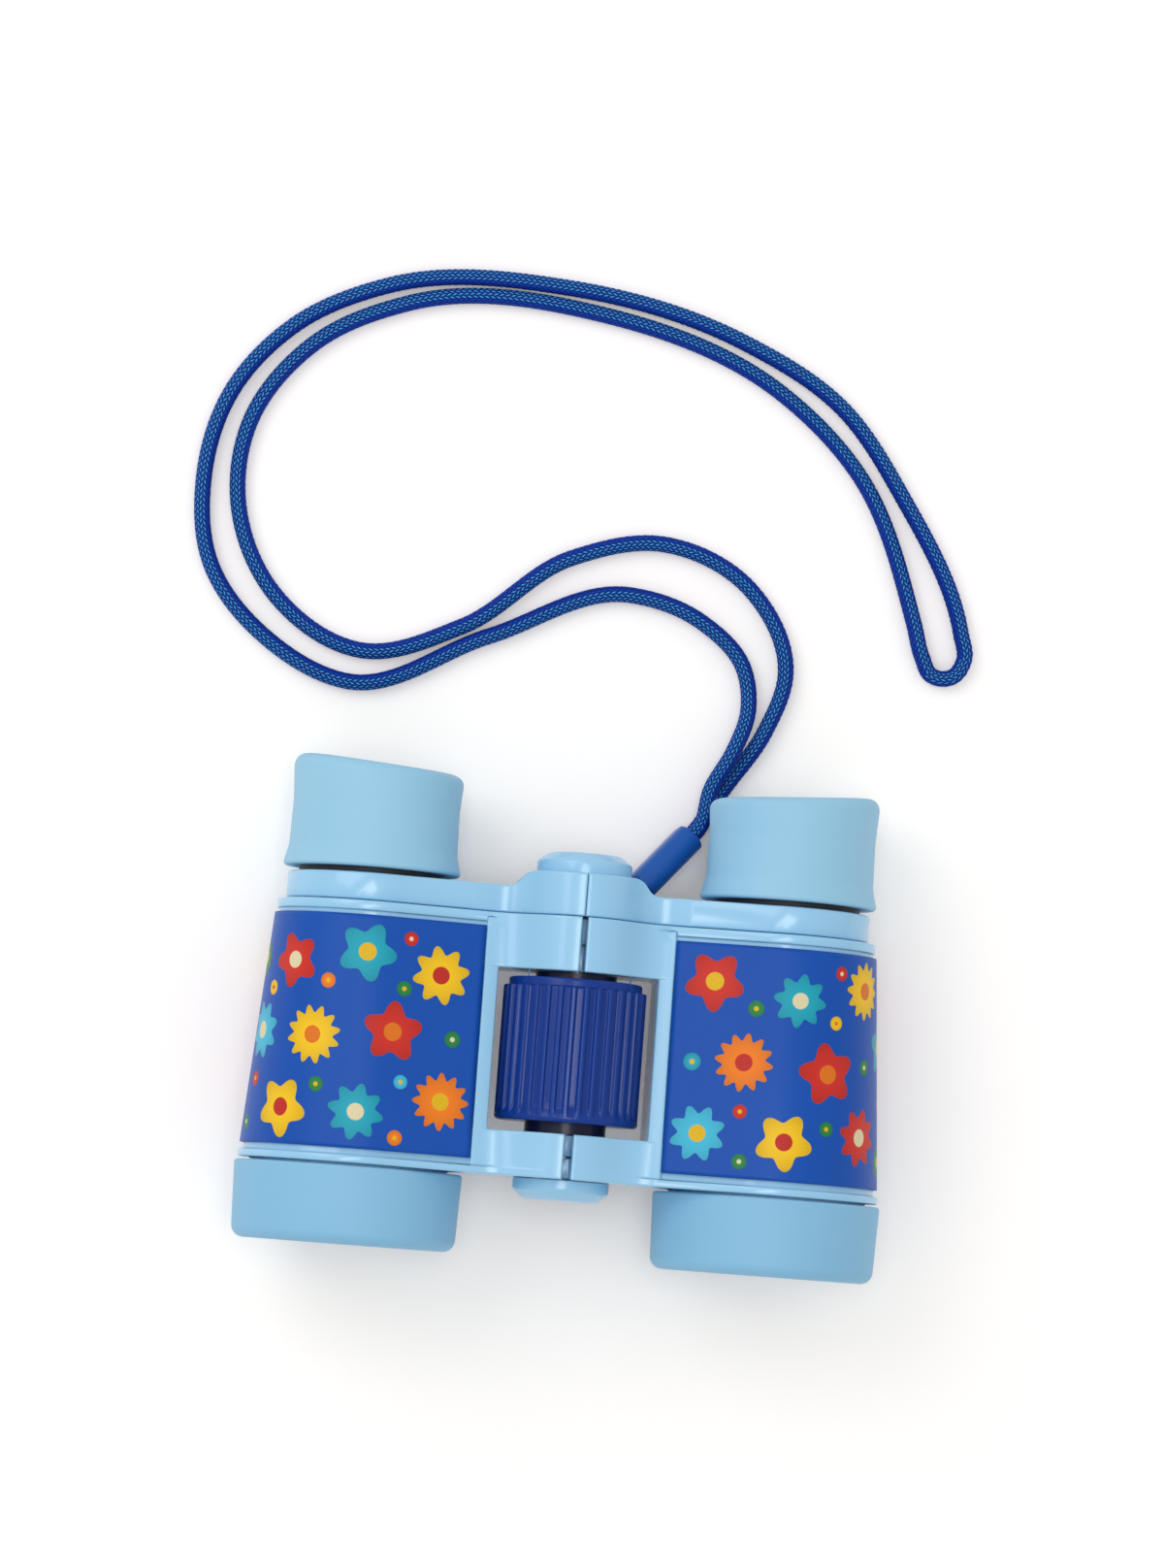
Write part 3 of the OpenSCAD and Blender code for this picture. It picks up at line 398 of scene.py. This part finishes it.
def closed_piece(name, points, body, slot, *replaced):
    """A piece from a grid of points that closes on itself both ways. Doubles are merged, which closes poles
    too, and the faces turned outward."""
    rows, columns = points.shape[:2]
    mesh = bpy.data.meshes.new(name)
    mesh.from_pydata(points.reshape(-1, 3), [], grid_faces(rows, columns, True, True).tolist())
    shell = bmesh.new()
    shell.from_mesh(mesh)
    bmesh.ops.remove_doubles(shell, verts=shell.verts, dist=weld_gap)
    bmesh.ops.recalc_face_normals(shell, faces=shell.faces)
    shell.to_mesh(mesh)
    shell.free()
    return ride_piece(name, mesh, body, slot, *replaced)


sleeve_r = 0.0028
sleeve_bore = 0.00172
sleeve_sides = 64
ferrule_side = np.cross(ferrule_axis, ferrule_up)
sleeve_line = rounded([
    (sleeve_r, -ferrule_len, 0.0005), (sleeve_r, 0, 0.0005),
    (sleeve_bore, 0, 0.0002), (sleeve_bore, -ferrule_len, 0.0002),
])


def oval_sleeve(line):
    """Points of a sleeve along the ferrule: each radius of the line runs round two half circles, set apart
    by the distance of the strands."""
    r = line[:, :1, None]
    along = line[:, 1:, None]
    turn = full_turn(sleeve_sides)[None, :, None]
    upward = r * np.sin(turn) + strand_off * np.sign(np.sin(turn))
    return ferrule_mouth + r * np.cos(turn) * ferrule_side + upward * ferrule_up + along * ferrule_axis


sleeve = closed_piece("ferrule_sleeve", oval_sleeve(sleeve_line), "right_half", "wheel", "cord_ferrule")


def moulded_grain():
    """Node group of a moulded surface: a slow drift of colour, and a fine grain of roughness and height."""
    group = bpy.data.node_groups.new("moulded grain", "ShaderNodeTree")
    place = add(group, "ShaderNodeTexCoord").outputs["Object"]
    out = group.nodes.new("NodeGroupOutput").inputs
    for name, scale, detail in (("Drift", 45.0, 2.0), ("Grain", 2600.0, 3.0)):
        group.interface.new_socket(name, in_out="OUTPUT", socket_type="NodeSocketFloat")
        noise = add(group, "ShaderNodeTexNoise", {"Vector": place, "Scale": scale, "Detail": detail})
        group.links.new(noise.outputs[0], out[name])
    return group


fine_grain = moulded_grain()
grain_depth = 0.0001


def grain_bump(tree, height, strength):
    """Normal of a surface that the fine grain makes uneven, by a strength."""
    bump = add(tree, "ShaderNodeBump", {"Height": height, "Strength": strength, "Distance": grain_depth})
    return bump.outputs[0]


def plastic(name, dark, light, roughness, spread, bump, coat=0.0, gloss=0.5):
    """Moulded plastic: its colour drifts between two tones; its roughness and height follow the grain."""
    mat, tree, shader = material(name)
    grain = add(tree, "ShaderNodeGroup", node_tree=fine_grain).outputs
    feed(tree, shader, {
        "Base Color": mixed(tree, grain["Drift"], dark, light),
        "Roughness": math_node(tree, "MULTIPLY_ADD", grain["Grain"], spread, roughness - spread / 2),
        "Normal": grain_bump(tree, grain["Grain"], bump),
        "Specular IOR Level": gloss,
        "Coat Weight": coat,
        "Coat Roughness": 0.08,
    })
    return mat


sleeve_gloss = plastic("glossy blue", (0.0045, 0.082, 0.35), (0.007, 0.096, 0.41),
                       roughness=0.32, spread=0.10, bump=0.06, coat=0.03, gloss=0.3)
sleeve.data.materials.append(sleeve_gloss)


# Barrels: two glossy light blue mouldings, each a tapered tube with a sloping web to the hinge, lugs above
# and below the wheel's window, a rim at the top and a flange at the foot. Their edges are slightly rounded,
# and each lug's front flows into the web.
sides = (("right", 1), ("left", -1))
# From here on sizes are in millimetres in the own frame, apart from edges, walls and welds, in metres.
axis_half = 38.8
hinge_rise = 7.3
wrap_top = -2.6
wrap_foot = -45.25
wrap_top_r = 17.2
wrap_foot_r = 20.35
web_slope = math.radians(12)
web_under = 0.15
rim_drop = 0.5
rim_run = 0.8
rim_from = 13.5
rim_span = 4.0
flange_r = 20.6
flange_top = -46.4
flange_run = 0.12
barrel_edge = 0.0003
moulding_weld = 2e-6
flat_angle = math.radians(0.6)
sharp_angle = math.radians(24)
body_gloss = plastic("glossy light blue", (0.28, 0.56, 0.79), (0.31, 0.59, 0.82),
                     roughness=0.24, spread=0.06, bump=0.03, coat=0.25)


def moulding(name, node, body, edge):
    """A CAD solid's surface in glossy light blue: doubles merged, flat triangles joined, edges rounded."""
    mesh = nodes[node].data.copy()
    mesh.name = name
    shell = bmesh.new()
    shell.from_mesh(mesh)
    bmesh.ops.remove_doubles(shell, verts=shell.verts, dist=moulding_weld)
    bmesh.ops.dissolve_limit(shell, angle_limit=flat_angle, verts=shell.verts, edges=shell.edges)
    shell.to_mesh(mesh)
    shell.free()
    mesh.materials.clear()
    mesh.materials.append(body_gloss)
    piece = ride_piece(name, mesh, body, "body", node)
    rounding = piece.modifiers.new("edges", "BEVEL")
    rounding.width = edge
    rounding.segments = 3
    rounding.limit_method = "ANGLE"
    rounding.angle_limit = sharp_angle
    rounding.miter_outer = "MITER_ARC"
    rounding.use_clamp_overlap = False
    rounding.harden_normals = True


def thicken(piece, thickness):
    """Gives a sheet its thickness on its inner side."""
    wall = piece.modifiers.new("thickness", "SOLIDIFY")
    wall.thickness = thickness
    wall.offset = -1


lug_reach = 17.45
# Each lug front: its end, the lug's radius, its foot, its top and half of the gap at the seam.
lug_fronts = (("upper", 12.0, -10.02, 0.02, 0.53), ("lower", 12.4, -47.92, -39.68, 0.83))
lug_flow = 6.0
skin_lift = 0.03
skin_wall = 0.0004
edge_round = 0.35
edge_steps = 8
front_columns = 49
front_rows = 60
tail_sink = 0.12
tail_run = 1.5
search_below = 3
search_above = 15
halvings = 40


def lug_front(name, body, mirror, lug_r, web_r, foot, top, seam, reach):
    """Front of a hinge lug and of the web beside it as one flowing surface, in millimetres. It lies where
    the smooth least of two distances, to the web's sloping plane and to the lug's cylinder, is nought. The
    smooth least is the lesser distance less flow / 4 * (1 - difference / flow) squared. Edges sink by a
    quarter circle."""
    bend = np.linspace(0, math.pi / 2, edge_steps)
    inset = edge_round * (1 - np.cos(bend))
    sink = edge_round * (1 - np.sin(bend))
    x = np.concatenate([seam + inset, np.linspace(seam + edge_round, reach, front_columns + 1)[1:]])[None]
    tail = tail_sink * np.clip((x - reach + tail_run) / tail_run, 0, 1) ** 2
    share = np.linspace(0, 1, front_rows + 2)[1:-1, None]
    high = top(x)
    low = foot + 0 * x
    middle = low + edge_round + share * (high - low - 2 * edge_round)
    y = np.vstack([low + inset[:, None], middle, high - inset[::-1, None]])
    x_sink = np.concatenate([sink, np.zeros(front_columns)])[None]
    y_sink = np.concatenate([sink, np.zeros(front_rows), sink[::-1]])[:, None]
    level = skin_lift - x_sink - tail - y_sink
    plane = (web_r(x, y) + (x - axis_half) * math.sin(web_slope)) / math.cos(web_slope)
    below = plane - search_below
    above = plane + search_above
    for _ in range(halvings):
        z = (below + above) / 2
        web = (z - plane) * math.cos(web_slope)
        lug = np.hypot(x, z - hinge_rise) - lug_r
        flow = np.clip(1 - np.abs(web - lug) / lug_flow, 0, 1)
        inside = np.minimum(web, lug) - lug_flow / 4 * flow ** 2 < level
        below = np.where(inside, z, below)
        above = np.where(inside, above, z)
    points = lie(np.stack([mirror * x + 0 * y, y, z], -1))
    mesh = bpy.data.meshes.new(name)
    mesh.from_pydata(points.reshape(-1, 3), [], grid_faces(*y.shape, False, False)[:, ::mirror].tolist())
    mesh.materials.append(body_gloss)
    thicken(ride_piece(name, mesh, body, "body"), skin_wall)


def wrap_cone(y):
    """Radius of the wrap's outer face, which grows evenly from its top to its foot."""
    return wrap_top_r + (wrap_foot_r - wrap_top_r) * (wrap_top - y) / (wrap_top - wrap_foot)


def barrel_web(x, y):
    """Radius that the web's plane touches: the wrap's cone, eased down to the rim and up to the flange."""
    cone = wrap_cone(y)
    rim = rim_drop * np.clip((y - wrap_top) / rim_run, 0, 1) * np.clip((x - rim_from) / rim_span, 0, 1) ** 2
    return cone - web_under - rim + (flange_r - cone) * np.clip((flange_top - y) / flange_run, 0, 1)


for side, mirror in sides:
    moulding(f"{side}_barrel_moulding", f"{side}_barrel", f"{side}_half", barrel_edge)
    for end, lug_r, lug_foot, lug_top, seam in lug_fronts:
        lug_front(f"{side}_{end}_lug_front", f"{side}_half", mirror, lug_r, barrel_web, lug_foot,
                  lambda x: lug_top + 0 * x, seam, lug_reach)


# Wraps: a printed satin film glued round each barrel, flat on the front web and then round to the back. The
# print is a scatter of flowers, suns and dots in red, turquoise, yellow and green on royal blue.
wrap_edge = 17.5
wrap_rows = 60
flat_columns = 15
round_columns = 120
web_depth = 2.5
film_wall = 0.0005
print_shift = 18
print_width = 54.0


def wrap_sheet(mirror):
    """Outer face of a wrap. One parameter runs along the barrel, the other across the film: straight from
    its front edge to where the web leaves the barrel, then round the cone. Returns points and print
    coordinates in mm."""
    y = np.linspace(wrap_top, wrap_foot, wrap_rows)[:, None]
    r = wrap_cone(y)
    touch_x = axis_half - r * math.sin(web_slope)
    touch_z = r * math.cos(web_slope)
    flat = np.linspace(1, 0, flat_columns + 1)[None, :-1] * (touch_x - wrap_edge)
    start = math.pi / 2 + web_slope
    turn = np.linspace(0, 1, round_columns)[None] * (start + math.pi - np.arcsin(web_depth / r))
    x = np.hstack([touch_x - flat, axis_half + r * np.cos(start - turn)])
    z = np.hstack([touch_z - flat * math.tan(web_slope), r * np.sin(start - turn)])
    u = np.hstack([-flat / math.cos(web_slope), turn * r]) + print_shift
    return np.stack([mirror * x, y + 0 * x, z], -1), np.stack([u, y - wrap_top + 0 * u], -1)


ink_edge = 0.06


def printed_motif():
    """Node group of one printed motif about a centre. Its edge lies at size * (1 - depth * dip), where dip
    rises from 0 on each of its points to 1 between them; a core of its own radius lies in the middle."""
    group = bpy.data.node_groups.new("printed motif", "ShaderNodeTree")
    for name in ("Place", "Centre"):
        group.interface.new_socket(name, in_out="INPUT", socket_type="NodeSocketVector")
    for name in ("Turn", "Size", "Points", "Depth", "Core"):
        group.interface.new_socket(name, in_out="INPUT", socket_type="NodeSocketFloat")
    for name in ("Shape", "Core", "Reach"):
        group.interface.new_socket(name, in_out="OUTPUT", socket_type="NodeSocketFloat")
    given = group.nodes.new("NodeGroupInput").outputs
    out = group.nodes.new("NodeGroupOutput").inputs
    ends = {0: given["Place"], 1: given["Centre"]}
    offset = add(group, "ShaderNodeVectorMath", ends, operation="SUBTRACT").outputs[0]
    xy = add(group, "ShaderNodeSeparateXYZ", {0: offset}).outputs
    reach = add(group, "ShaderNodeVectorMath", {0: offset}, operation="LENGTH").outputs["Value"]
    angle = math_node(group, "ADD", math_node(group, "ARCTAN2", xy[1], xy[0]), given["Turn"])
    wave = math_node(group, "COSINE", math_node(group, "MULTIPLY", angle, given["Points"]))
    dip = math_node(group, "MULTIPLY_ADD", wave, -0.5, 0.5)
    width = math_node(group, "SUBTRACT", 1.0, math_node(group, "MULTIPLY", dip, given["Depth"]))
    edge = math_node(group, "MULTIPLY", given["Size"], width)
    for name, limit in (("Shape", edge), ("Core", given["Core"])):
        inside = math_node(group, "SUBTRACT", limit, reach)
        blur = {"Value": inside, "From Min": -ink_edge, "From Max": ink_edge}
        mask = add(group, "ShaderNodeMapRange", blur)
        group.links.new(mask.outputs[0], out[name])
    group.links.new(math_node(group, "DIVIDE", reach, given["Size"]), out["Reach"])
    return group


motif = printed_motif()
core_share = 0.3
petal_dark = 0.35
core_dark = 0.6
ink_gain = 1.1
ink_drop = -0.1
film_rough = 0.36
film_spread = 0.12
film_bump = 0.12
royal_deep = (0.002, 0.066, 0.37)
royal_bright = (0.004, 0.082, 0.43)
red = (0.62, 0.030, 0.020)
orange = (0.88, 0.21, 0.013)
yellow = (0.90, 0.55, 0.013)
turquoise = (0.013, 0.37, 0.49)
sky = (0.055, 0.49, 0.69)
green = (0.022, 0.235, 0.06)
cream = (0.88, 0.78, 0.47)
# A motif's outline: how many points it has, and how deep it dips between them.
blossom = (5, 0.34)
daisy = (8, 0.30)
sun = (12, 0.26)
dot = (1, 0.0)
# Each motif: its place across and along the film, size, outline, petal and core colours, and turn.
right_print = [
    (7.5, -7.0, 5.6, blossom, red, yellow, 0.3), (23.5, -9.5, 5.0, daisy, turquoise, cream, 0.1),
    (38.5, -6.5, 5.4, sun, yellow, orange, 0.0), (47.5, -16.5, 5.2, blossom, turquoise, yellow, 0.9),
    (14.0, -21.5, 5.4, sun, orange, red, 0.1), (30.0, -22.5, 5.8, blossom, red, orange, 0.7),
    (6.5, -35.0, 5.2, daisy, sky, yellow, 0.4), (22.5, -35.5, 5.4, blossom, yellow, red, 0.2),
    (39.0, -33.5, 5.4, daisy, red, cream, 0.2), (49.0, -37.5, 3.4, sun, green, yellow, 0.0),
    (15.5, -11.5, 1.5, dot, green, yellow, 0.0), (31.0, -13.0, 1.3, dot, yellow, orange, 0.0),
    (39.5, -20.5, 1.5, dot, green, cream, 0.0), (4.5, -22.0, 1.6, dot, turquoise, yellow, 0.0),
    (14.0, -30.5, 1.3, dot, red, yellow, 0.0), (30.5, -32.5, 1.4, dot, green, yellow, 0.0),
    (31.5, -3.8, 1.3, dot, red, cream, 0.0), (14.6, -39.6, 1.4, dot, green, cream, 0.0),
    (49.5, -26.8, 1.4, dot, orange, yellow, 0.0), (50.5, -6.0, 1.4, dot, green, yellow, 0.0),
]
left_print = [
    (8.0, -10.0, 5.4, daisy, yellow, red, 0.2), (22.0, -6.8, 5.5, blossom, turquoise, yellow, 0.5),
    (36.5, -9.0, 5.2, blossom, red, cream, 0.1), (48.5, -8.5, 3.6, sun, green, yellow, 0.0),
    (16.5, -21.0, 5.6, blossom, red, orange, 0.9), (31.5, -22.5, 5.4, sun, yellow, orange, 0.2),
    (45.5, -22.0, 5.4, daisy, sky, cream, 0.3), (6.8, -33.0, 5.3, sun, orange, yellow, 0.0),
    (22.5, -36.0, 5.2, daisy, turquoise, cream, 0.6), (37.5, -36.0, 5.6, blossom, yellow, red, 0.4),
    (14.8, -13.0, 1.4, dot, green, yellow, 0.0), (29.0, -12.5, 1.4, dot, orange, yellow, 0.0),
    (5.2, -21.5, 1.5, dot, green, cream, 0.0), (14.5, -30.0, 1.3, dot, sky, yellow, 0.0),
    (30.2, -31.5, 1.4, dot, green, yellow, 0.0), (42.5, -14.2, 1.4, dot, yellow, red, 0.0),
    (46.5, -31.0, 1.4, dot, red, yellow, 0.0), (14.0, -3.8, 1.3, dot, red, cream, 0.0),
    (15.0, -40.2, 1.4, dot, orange, yellow, 0.0), (49.0, -39.0, 1.5, dot, green, cream, 0.0),
]


def darker(color, share):
    """A colour brought down to a share of its strength."""
    return tuple(part * share for part in color)


def printed_film(name, layout):
    """Satin film: royal blue with a soft drift, and over it the motifs, one by one. A motif's ink darkens
    towards its edge with the square of the reach, more where the ink's grain is strong."""
    mat, tree, shader = material(name)
    place = add(tree, "ShaderNodeUVMap", uv_map="print").outputs[0]
    across, along = list(add(tree, "ShaderNodeSeparateXYZ", {0: place}).outputs)[:2]
    repeat = math_node(tree, "FLOORED_MODULO", across, print_width)
    tile = add(tree, "ShaderNodeCombineXYZ", {0: repeat, 1: along}).outputs[0]
    ink_noise = {"Vector": place, "Scale": 3.2, "Detail": 5.0, "Roughness": 0.75}
    ink = add(tree, "ShaderNodeTexNoise", ink_noise, noise_dimensions="2D").outputs[0]
    grain = add(tree, "ShaderNodeGroup", node_tree=fine_grain).outputs
    ink_grain = math_node(tree, "MULTIPLY_ADD", ink, ink_gain, ink_drop)
    color = mixed(tree, grain["Drift"], royal_deep, royal_bright)
    for x, y, size, (points, depth), petal, core, turn in layout:
        shape = add(tree, "ShaderNodeGroup", {
            "Place": tile, "Centre": (x, y, 0), "Turn": turn, "Size": size,
            "Points": points, "Depth": depth, "Core": size * core_share,
        }, node_tree=motif).outputs
        shade = math_node(tree, "MULTIPLY", math_node(tree, "POWER", shape["Reach"], 2.0), ink_grain)
        color = mixed(tree, shape["Shape"], color, mixed(tree, shade, petal, darker(petal, petal_dark)))
        color = mixed(tree, shape["Core"], color, mixed(tree, ink, core, darker(core, core_dark)))
    feed(tree, shader, {
        "Base Color": color,
        "Roughness": math_node(tree, "MULTIPLY_ADD", grain["Grain"], film_spread, film_rough),
        "Specular IOR Level": 0.22,
        "Normal": grain_bump(tree, grain["Grain"], film_bump),
    })
    return mat


for (side, mirror), layout in zip(sides, (right_print, left_print)):
    film_points, film_print = wrap_sheet(mirror)
    film_faces = grid_faces(*film_points.shape[:2], False, False)[:, ::-mirror]
    film_mesh = bpy.data.meshes.new(f"{side}_wrap_film")
    film_mesh.from_pydata(lie(film_points).reshape(-1, 3), [], film_faces.tolist())
    film_layer = film_mesh.uv_layers.new(name="print")
    film_layer.data.foreach_set("uv", film_print.reshape(-1, 2)[film_faces.ravel()].ravel())
    film_mesh.materials.append(printed_film(f"{side} printed film", layout))
    thicken(ride_piece(f"{side}_wrap_film", film_mesh, f"{side}_half", "wraps", f"{side}_wrap"), film_wall)


# Objective cups: soft matt blue hoods pushed on the foot of each barrel. They are turned shapes with a well
# rounded rim and a step inside that sits on the barrel's end.
turned_sides = 160


def turned(name, outline, x, z, body, node, slot, mat, rise=0.0):
    """A closed outline of (radius, y) points turned about the line (x, z), and raised along it by rise."""
    turn = full_turn(turned_sides)
    r = outline[:, :1]
    y = outline[:, 1:]
    points = lie(np.stack([x + r * np.cos(turn), y + rise + 0 * turn, z + r * np.sin(turn)], -1))
    piece = closed_piece(name, points, body, slot, node)
    piece.data.materials.append(mat)


hood_matt = plastic("soft matt blue", (0.21, 0.475, 0.69), (0.235, 0.50, 0.72),
                    roughness=0.56, spread=0.10, bump=0.18)
hood_line = rounded([
    (21.05, -48.4, 0.6), (20.6, -62.7, 2.3), (18.0, -62.7, 0.35), (16.2, -56.0, 0.3), (16.2, -55.05, 0.1),
    (18.35, -55.05, 0.1), (18.35, -48.4, 0.2),
])
for side, mirror in sides:
    turned(f"{side}_objective_hood", hood_line, mirror * axis_half, 0, f"{side}_half",
           f"{side}_objective_cup", "cups", hood_matt)


# Lenses: clear moulded discs at both ends of each barrel, a little smudged. Each is held on its ledge by a
# matt dark ring, and the eye lens sits in a dark tube.
lens_rough = 0.01
smudge_rough = 0.03
glass, tree, shader = material("clear lens")
lens_place = add(tree, "ShaderNodeTexCoord").outputs["Object"]
smudge = add(tree, "ShaderNodeTexNoise", {"Vector": lens_place, "Scale": 120.0, "Detail": 3.0}).outputs[0]
feed(tree, shader, {
    "Base Color": (0.90, 0.96, 0.97, 1),
    "Transmission Weight": 1.0,
    "IOR": 1.5,
    "Coat Weight": 0.3,
    "Roughness": math_node(tree, "MULTIPLY_ADD", smudge, smudge_rough, lens_rough),
})
dark_matt = plastic("dark matt plastic", (0.010, 0.011, 0.014), (0.016, 0.017, 0.021),
                    roughness=0.58, spread=0.14, bump=0.2)


def dress(names, mat):
    """Gives CAD nodes a finish in place of their plain one."""
    for name in names:
        nodes[name].data.materials.clear()
        nodes[name].data.materials.append(mat)


for side, _ in sides:
    dress([f"{side}_objective_lens", f"{side}_eye_lens"], glass)
    dress([f"{side}_lens_retainer", f"{side}_eye_retainer", f"{side}_eyepiece_tube"], dark_matt)


# Bridge: the glossy bar that carries both eyepieces, moulded in two halves. Its top edge rises in an S to
# the boss at the hinge, and its front flows from the web into the lug.
bridge_foot = 0.18
bridge_top = 5.22
bridge_web_r = 15.25
bridge_lug_r = 11.0
bridge_seam = 0.05
bridge_reach = 21.0
bridge_round = 0.00035
boss_half = 9.2
boss_run = 5.0
boss_h = 2.9


def bridge_edge(x):
    """Top edge of the bridge's front: two arcs of one radius, which meet half way down beside the boss."""
    turn = 2 * math.atan(boss_h / boss_run)
    radius = boss_run / 2 / math.sin(turn)
    share = np.clip((x - boss_half) / boss_run, 0, 1)
    fall = radius - np.sqrt(radius ** 2 - (boss_run * np.minimum(share, 1 - share)) ** 2)
    return bridge_top + np.where(share < 0.5, boss_h - fall, fall)


for side, mirror in sides:
    moulding(f"{side}_bridge_moulding", f"{side}_bridge", f"{side}_eyepiece", bridge_round)
    lug_front(f"{side}_bridge_front", f"{side}_eyepiece", mirror, bridge_lug_r,
              lambda x, y: bridge_web_r + 0 * x * y, bridge_foot, bridge_edge, bridge_seam, bridge_reach)


# Eyecups: soft matt light blue cups with a flared skirt, pushed on the eyepiece tubes. The rim rises
# towards the outer side, to keep out light, and is rounded like a lip.
soft_matt = plastic("soft matt light blue", (0.275, 0.54, 0.73), (0.30, 0.57, 0.76),
                    roughness=0.56, spread=0.10, bump=0.18)
lip_y = 25.0
lip_from = 11.0
lip_rise = 2.0
lip_power = 1.5
cup_line = rounded([
    (16.55, 6.3, 0.6), (15.6, 10.2, 6.0), (15.4, 18.0, 14.0), (15.9, lip_y, 1.8), (13.1, lip_y, 1.0),
    (12.2, 23.0, 1.5), (10.8, 19.2, 0.4), (10.8, 18.2, 0.1), (12.05, 18.2, 0.1), (12.05, 6.3, 0.2),
])
lip_share = np.clip((cup_line[:, 1:] - lip_from) / (lip_y - lip_from), 0, 1) ** lip_power
for side, mirror in sides:
    outer_side = ((1 + mirror * np.cos(full_turn(turned_sides))) / 2) ** 2
    turned(f"{side}_eyecup_soft", cup_line, mirror * axis_half, 0, f"{side}_eyepiece",
           f"{side}_eyecup", "cups", soft_matt, lip_rise * outer_side * lip_share)


# Focus wheel: a glossy royal blue barrel with moulded ribs, a smooth collar at the top and a smooth band at
# the foot. It turns in the window between two washers, on the same axis as the hinge.
wheel_top = -11.3
wheel_foot = -37.6
wheel_r = 13.2
wheel_bore = 6.55
wheel_rows = 30
wall_from = 1.2
wall_to = 0.6
collar_h = 1.5
collar_r = 12.3
band_h = 1.6
band_run = 0.5
rib_count = 34
rib_depth = 0.75
rib_crest = 0.5
rib_root = 12.6
rib_steps = 16
wheel_line = rounded([
    (wheel_r, wheel_foot, 0.7), (wheel_r, wheel_top - collar_h, 0.35),
    (collar_r, wheel_top - collar_h, 0.15), (collar_r, wheel_top, 0.5),
    (wheel_bore, wheel_top, 0.1), (wheel_bore, wheel_foot, 0.1),
])
wall_y = np.linspace(wheel_foot + wall_from, wheel_top - collar_h - wall_to, wheel_rows)
wall_line = np.column_stack([np.full(wheel_rows, wheel_r), wall_y])
wheel_line = np.vstack([wheel_line[:arc_steps], wall_line, wheel_line[arc_steps:]])


def ribbed(line):
    """Outline turned about the hinge, less the valleys between its ribs. A valley is 1 - cosine / crest,
    kept between 0 and 1, on the outer wall above the smooth band."""
    turn = full_turn(rib_count * rib_steps)
    r = line[:, :1]
    y = line[:, 1:]
    valley = np.clip(1 - np.cos(turn * rib_count) / rib_crest, 0, 1)
    span = np.clip((y - wheel_foot - band_h) / band_run, 0, 1) * (r > rib_root)
    r = r - rib_depth * valley * span
    return lie(np.stack([r * np.cos(turn), y + 0 * turn, hinge_rise + r * np.sin(turn)], -1))


wheel = closed_piece("focus_wheel_ribbed", ribbed(wheel_line), "focus_drive", "wheel", "focus_wheel")
royal_gloss = plastic("glossy royal blue", (0.002, 0.031, 0.23), (0.0035, 0.041, 0.28),
                      roughness=0.24, spread=0.08, bump=0.06, coat=0.06, gloss=0.24)
wheel.data.materials.append(royal_gloss)
# The washers are a near black navy, which makes the bands above and below the wheel dark.
hub_gloss = plastic("glossy navy", (0.006, 0.006, 0.042), (0.010, 0.010, 0.060),
                    roughness=0.3, spread=0.10, bump=0.06, coat=0.04, gloss=0.3)
dress(["upper_washer", "lower_washer"], hub_gloss)


# Metal parts: the brass nut in the wheel, the steel stem that it drives, the bush in the upper lugs and the
# pin in the lower ones. They are turned on a lathe, which leaves fine rings on them.
ring_scale = (60, 4000, 60)
ring_tone = 0.8
ring_spread = 0.15


def turned_metal(name, color, roughness):
    """Turned metal: fine rings across its axis show as a slight change of tone and roughness."""
    mat, tree, shader = material(name)
    place = add(tree, "ShaderNodeTexCoord").outputs["Object"]
    ring_place = add(tree, "ShaderNodeMapping", {"Vector": place, "Scale": ring_scale}).outputs[0]
    rings = add(tree, "ShaderNodeTexNoise", {"Vector": ring_place, "Scale": 1.0}).outputs[0]
    feed(tree, shader, {
        "Base Color": mixed(tree, rings, darker(color, ring_tone), color),
        "Roughness": math_node(tree, "MULTIPLY_ADD", rings, ring_spread, roughness),
        "Metallic": 1.0,
    })
    return mat


dress(["focus_nut"], turned_metal("turned brass", (0.62, 0.42, 0.13), 0.28))
dress(["focus_stem", "hinge_bush", "hinge_pin"], turned_metal("turned steel", (0.52, 0.53, 0.55), 0.26))


# Caps: round glossy buttons that close the two ends of the hinge, with a broad rounded edge. The upper one
# is pressed into the bridge and the lower one into the foot of the right barrel's lug.
def button(name, corners, body, node):
    """A turned cap of three (radius, y, rounding) corners, closed to the axis on its foot and its face."""
    foot = (0, corners[0][1])
    face = (0, corners[-1][1])
    wall = rounded([*corners, (*face, 0), (*foot, 0)])[:arc_steps * len(corners)]
    turned(name, np.vstack([wall, face, foot]), 0, hinge_rise, body, node, "body", body_gloss)


upper_corners = [(8.8, 8.1, 0.2), (8.8, 10.4, 1.0), (6.7, 12.1, 1.6)]
lower_corners = [(8.9, -48.0, 0.2), (8.9, -50.0, 1.0), (6.9, -51.8, 1.6)]
button("upper_hinge_button", upper_corners, "right_eyepiece", "top_cap")
button("lower_hinge_button", lower_corners, "right_half", "foot_cap")
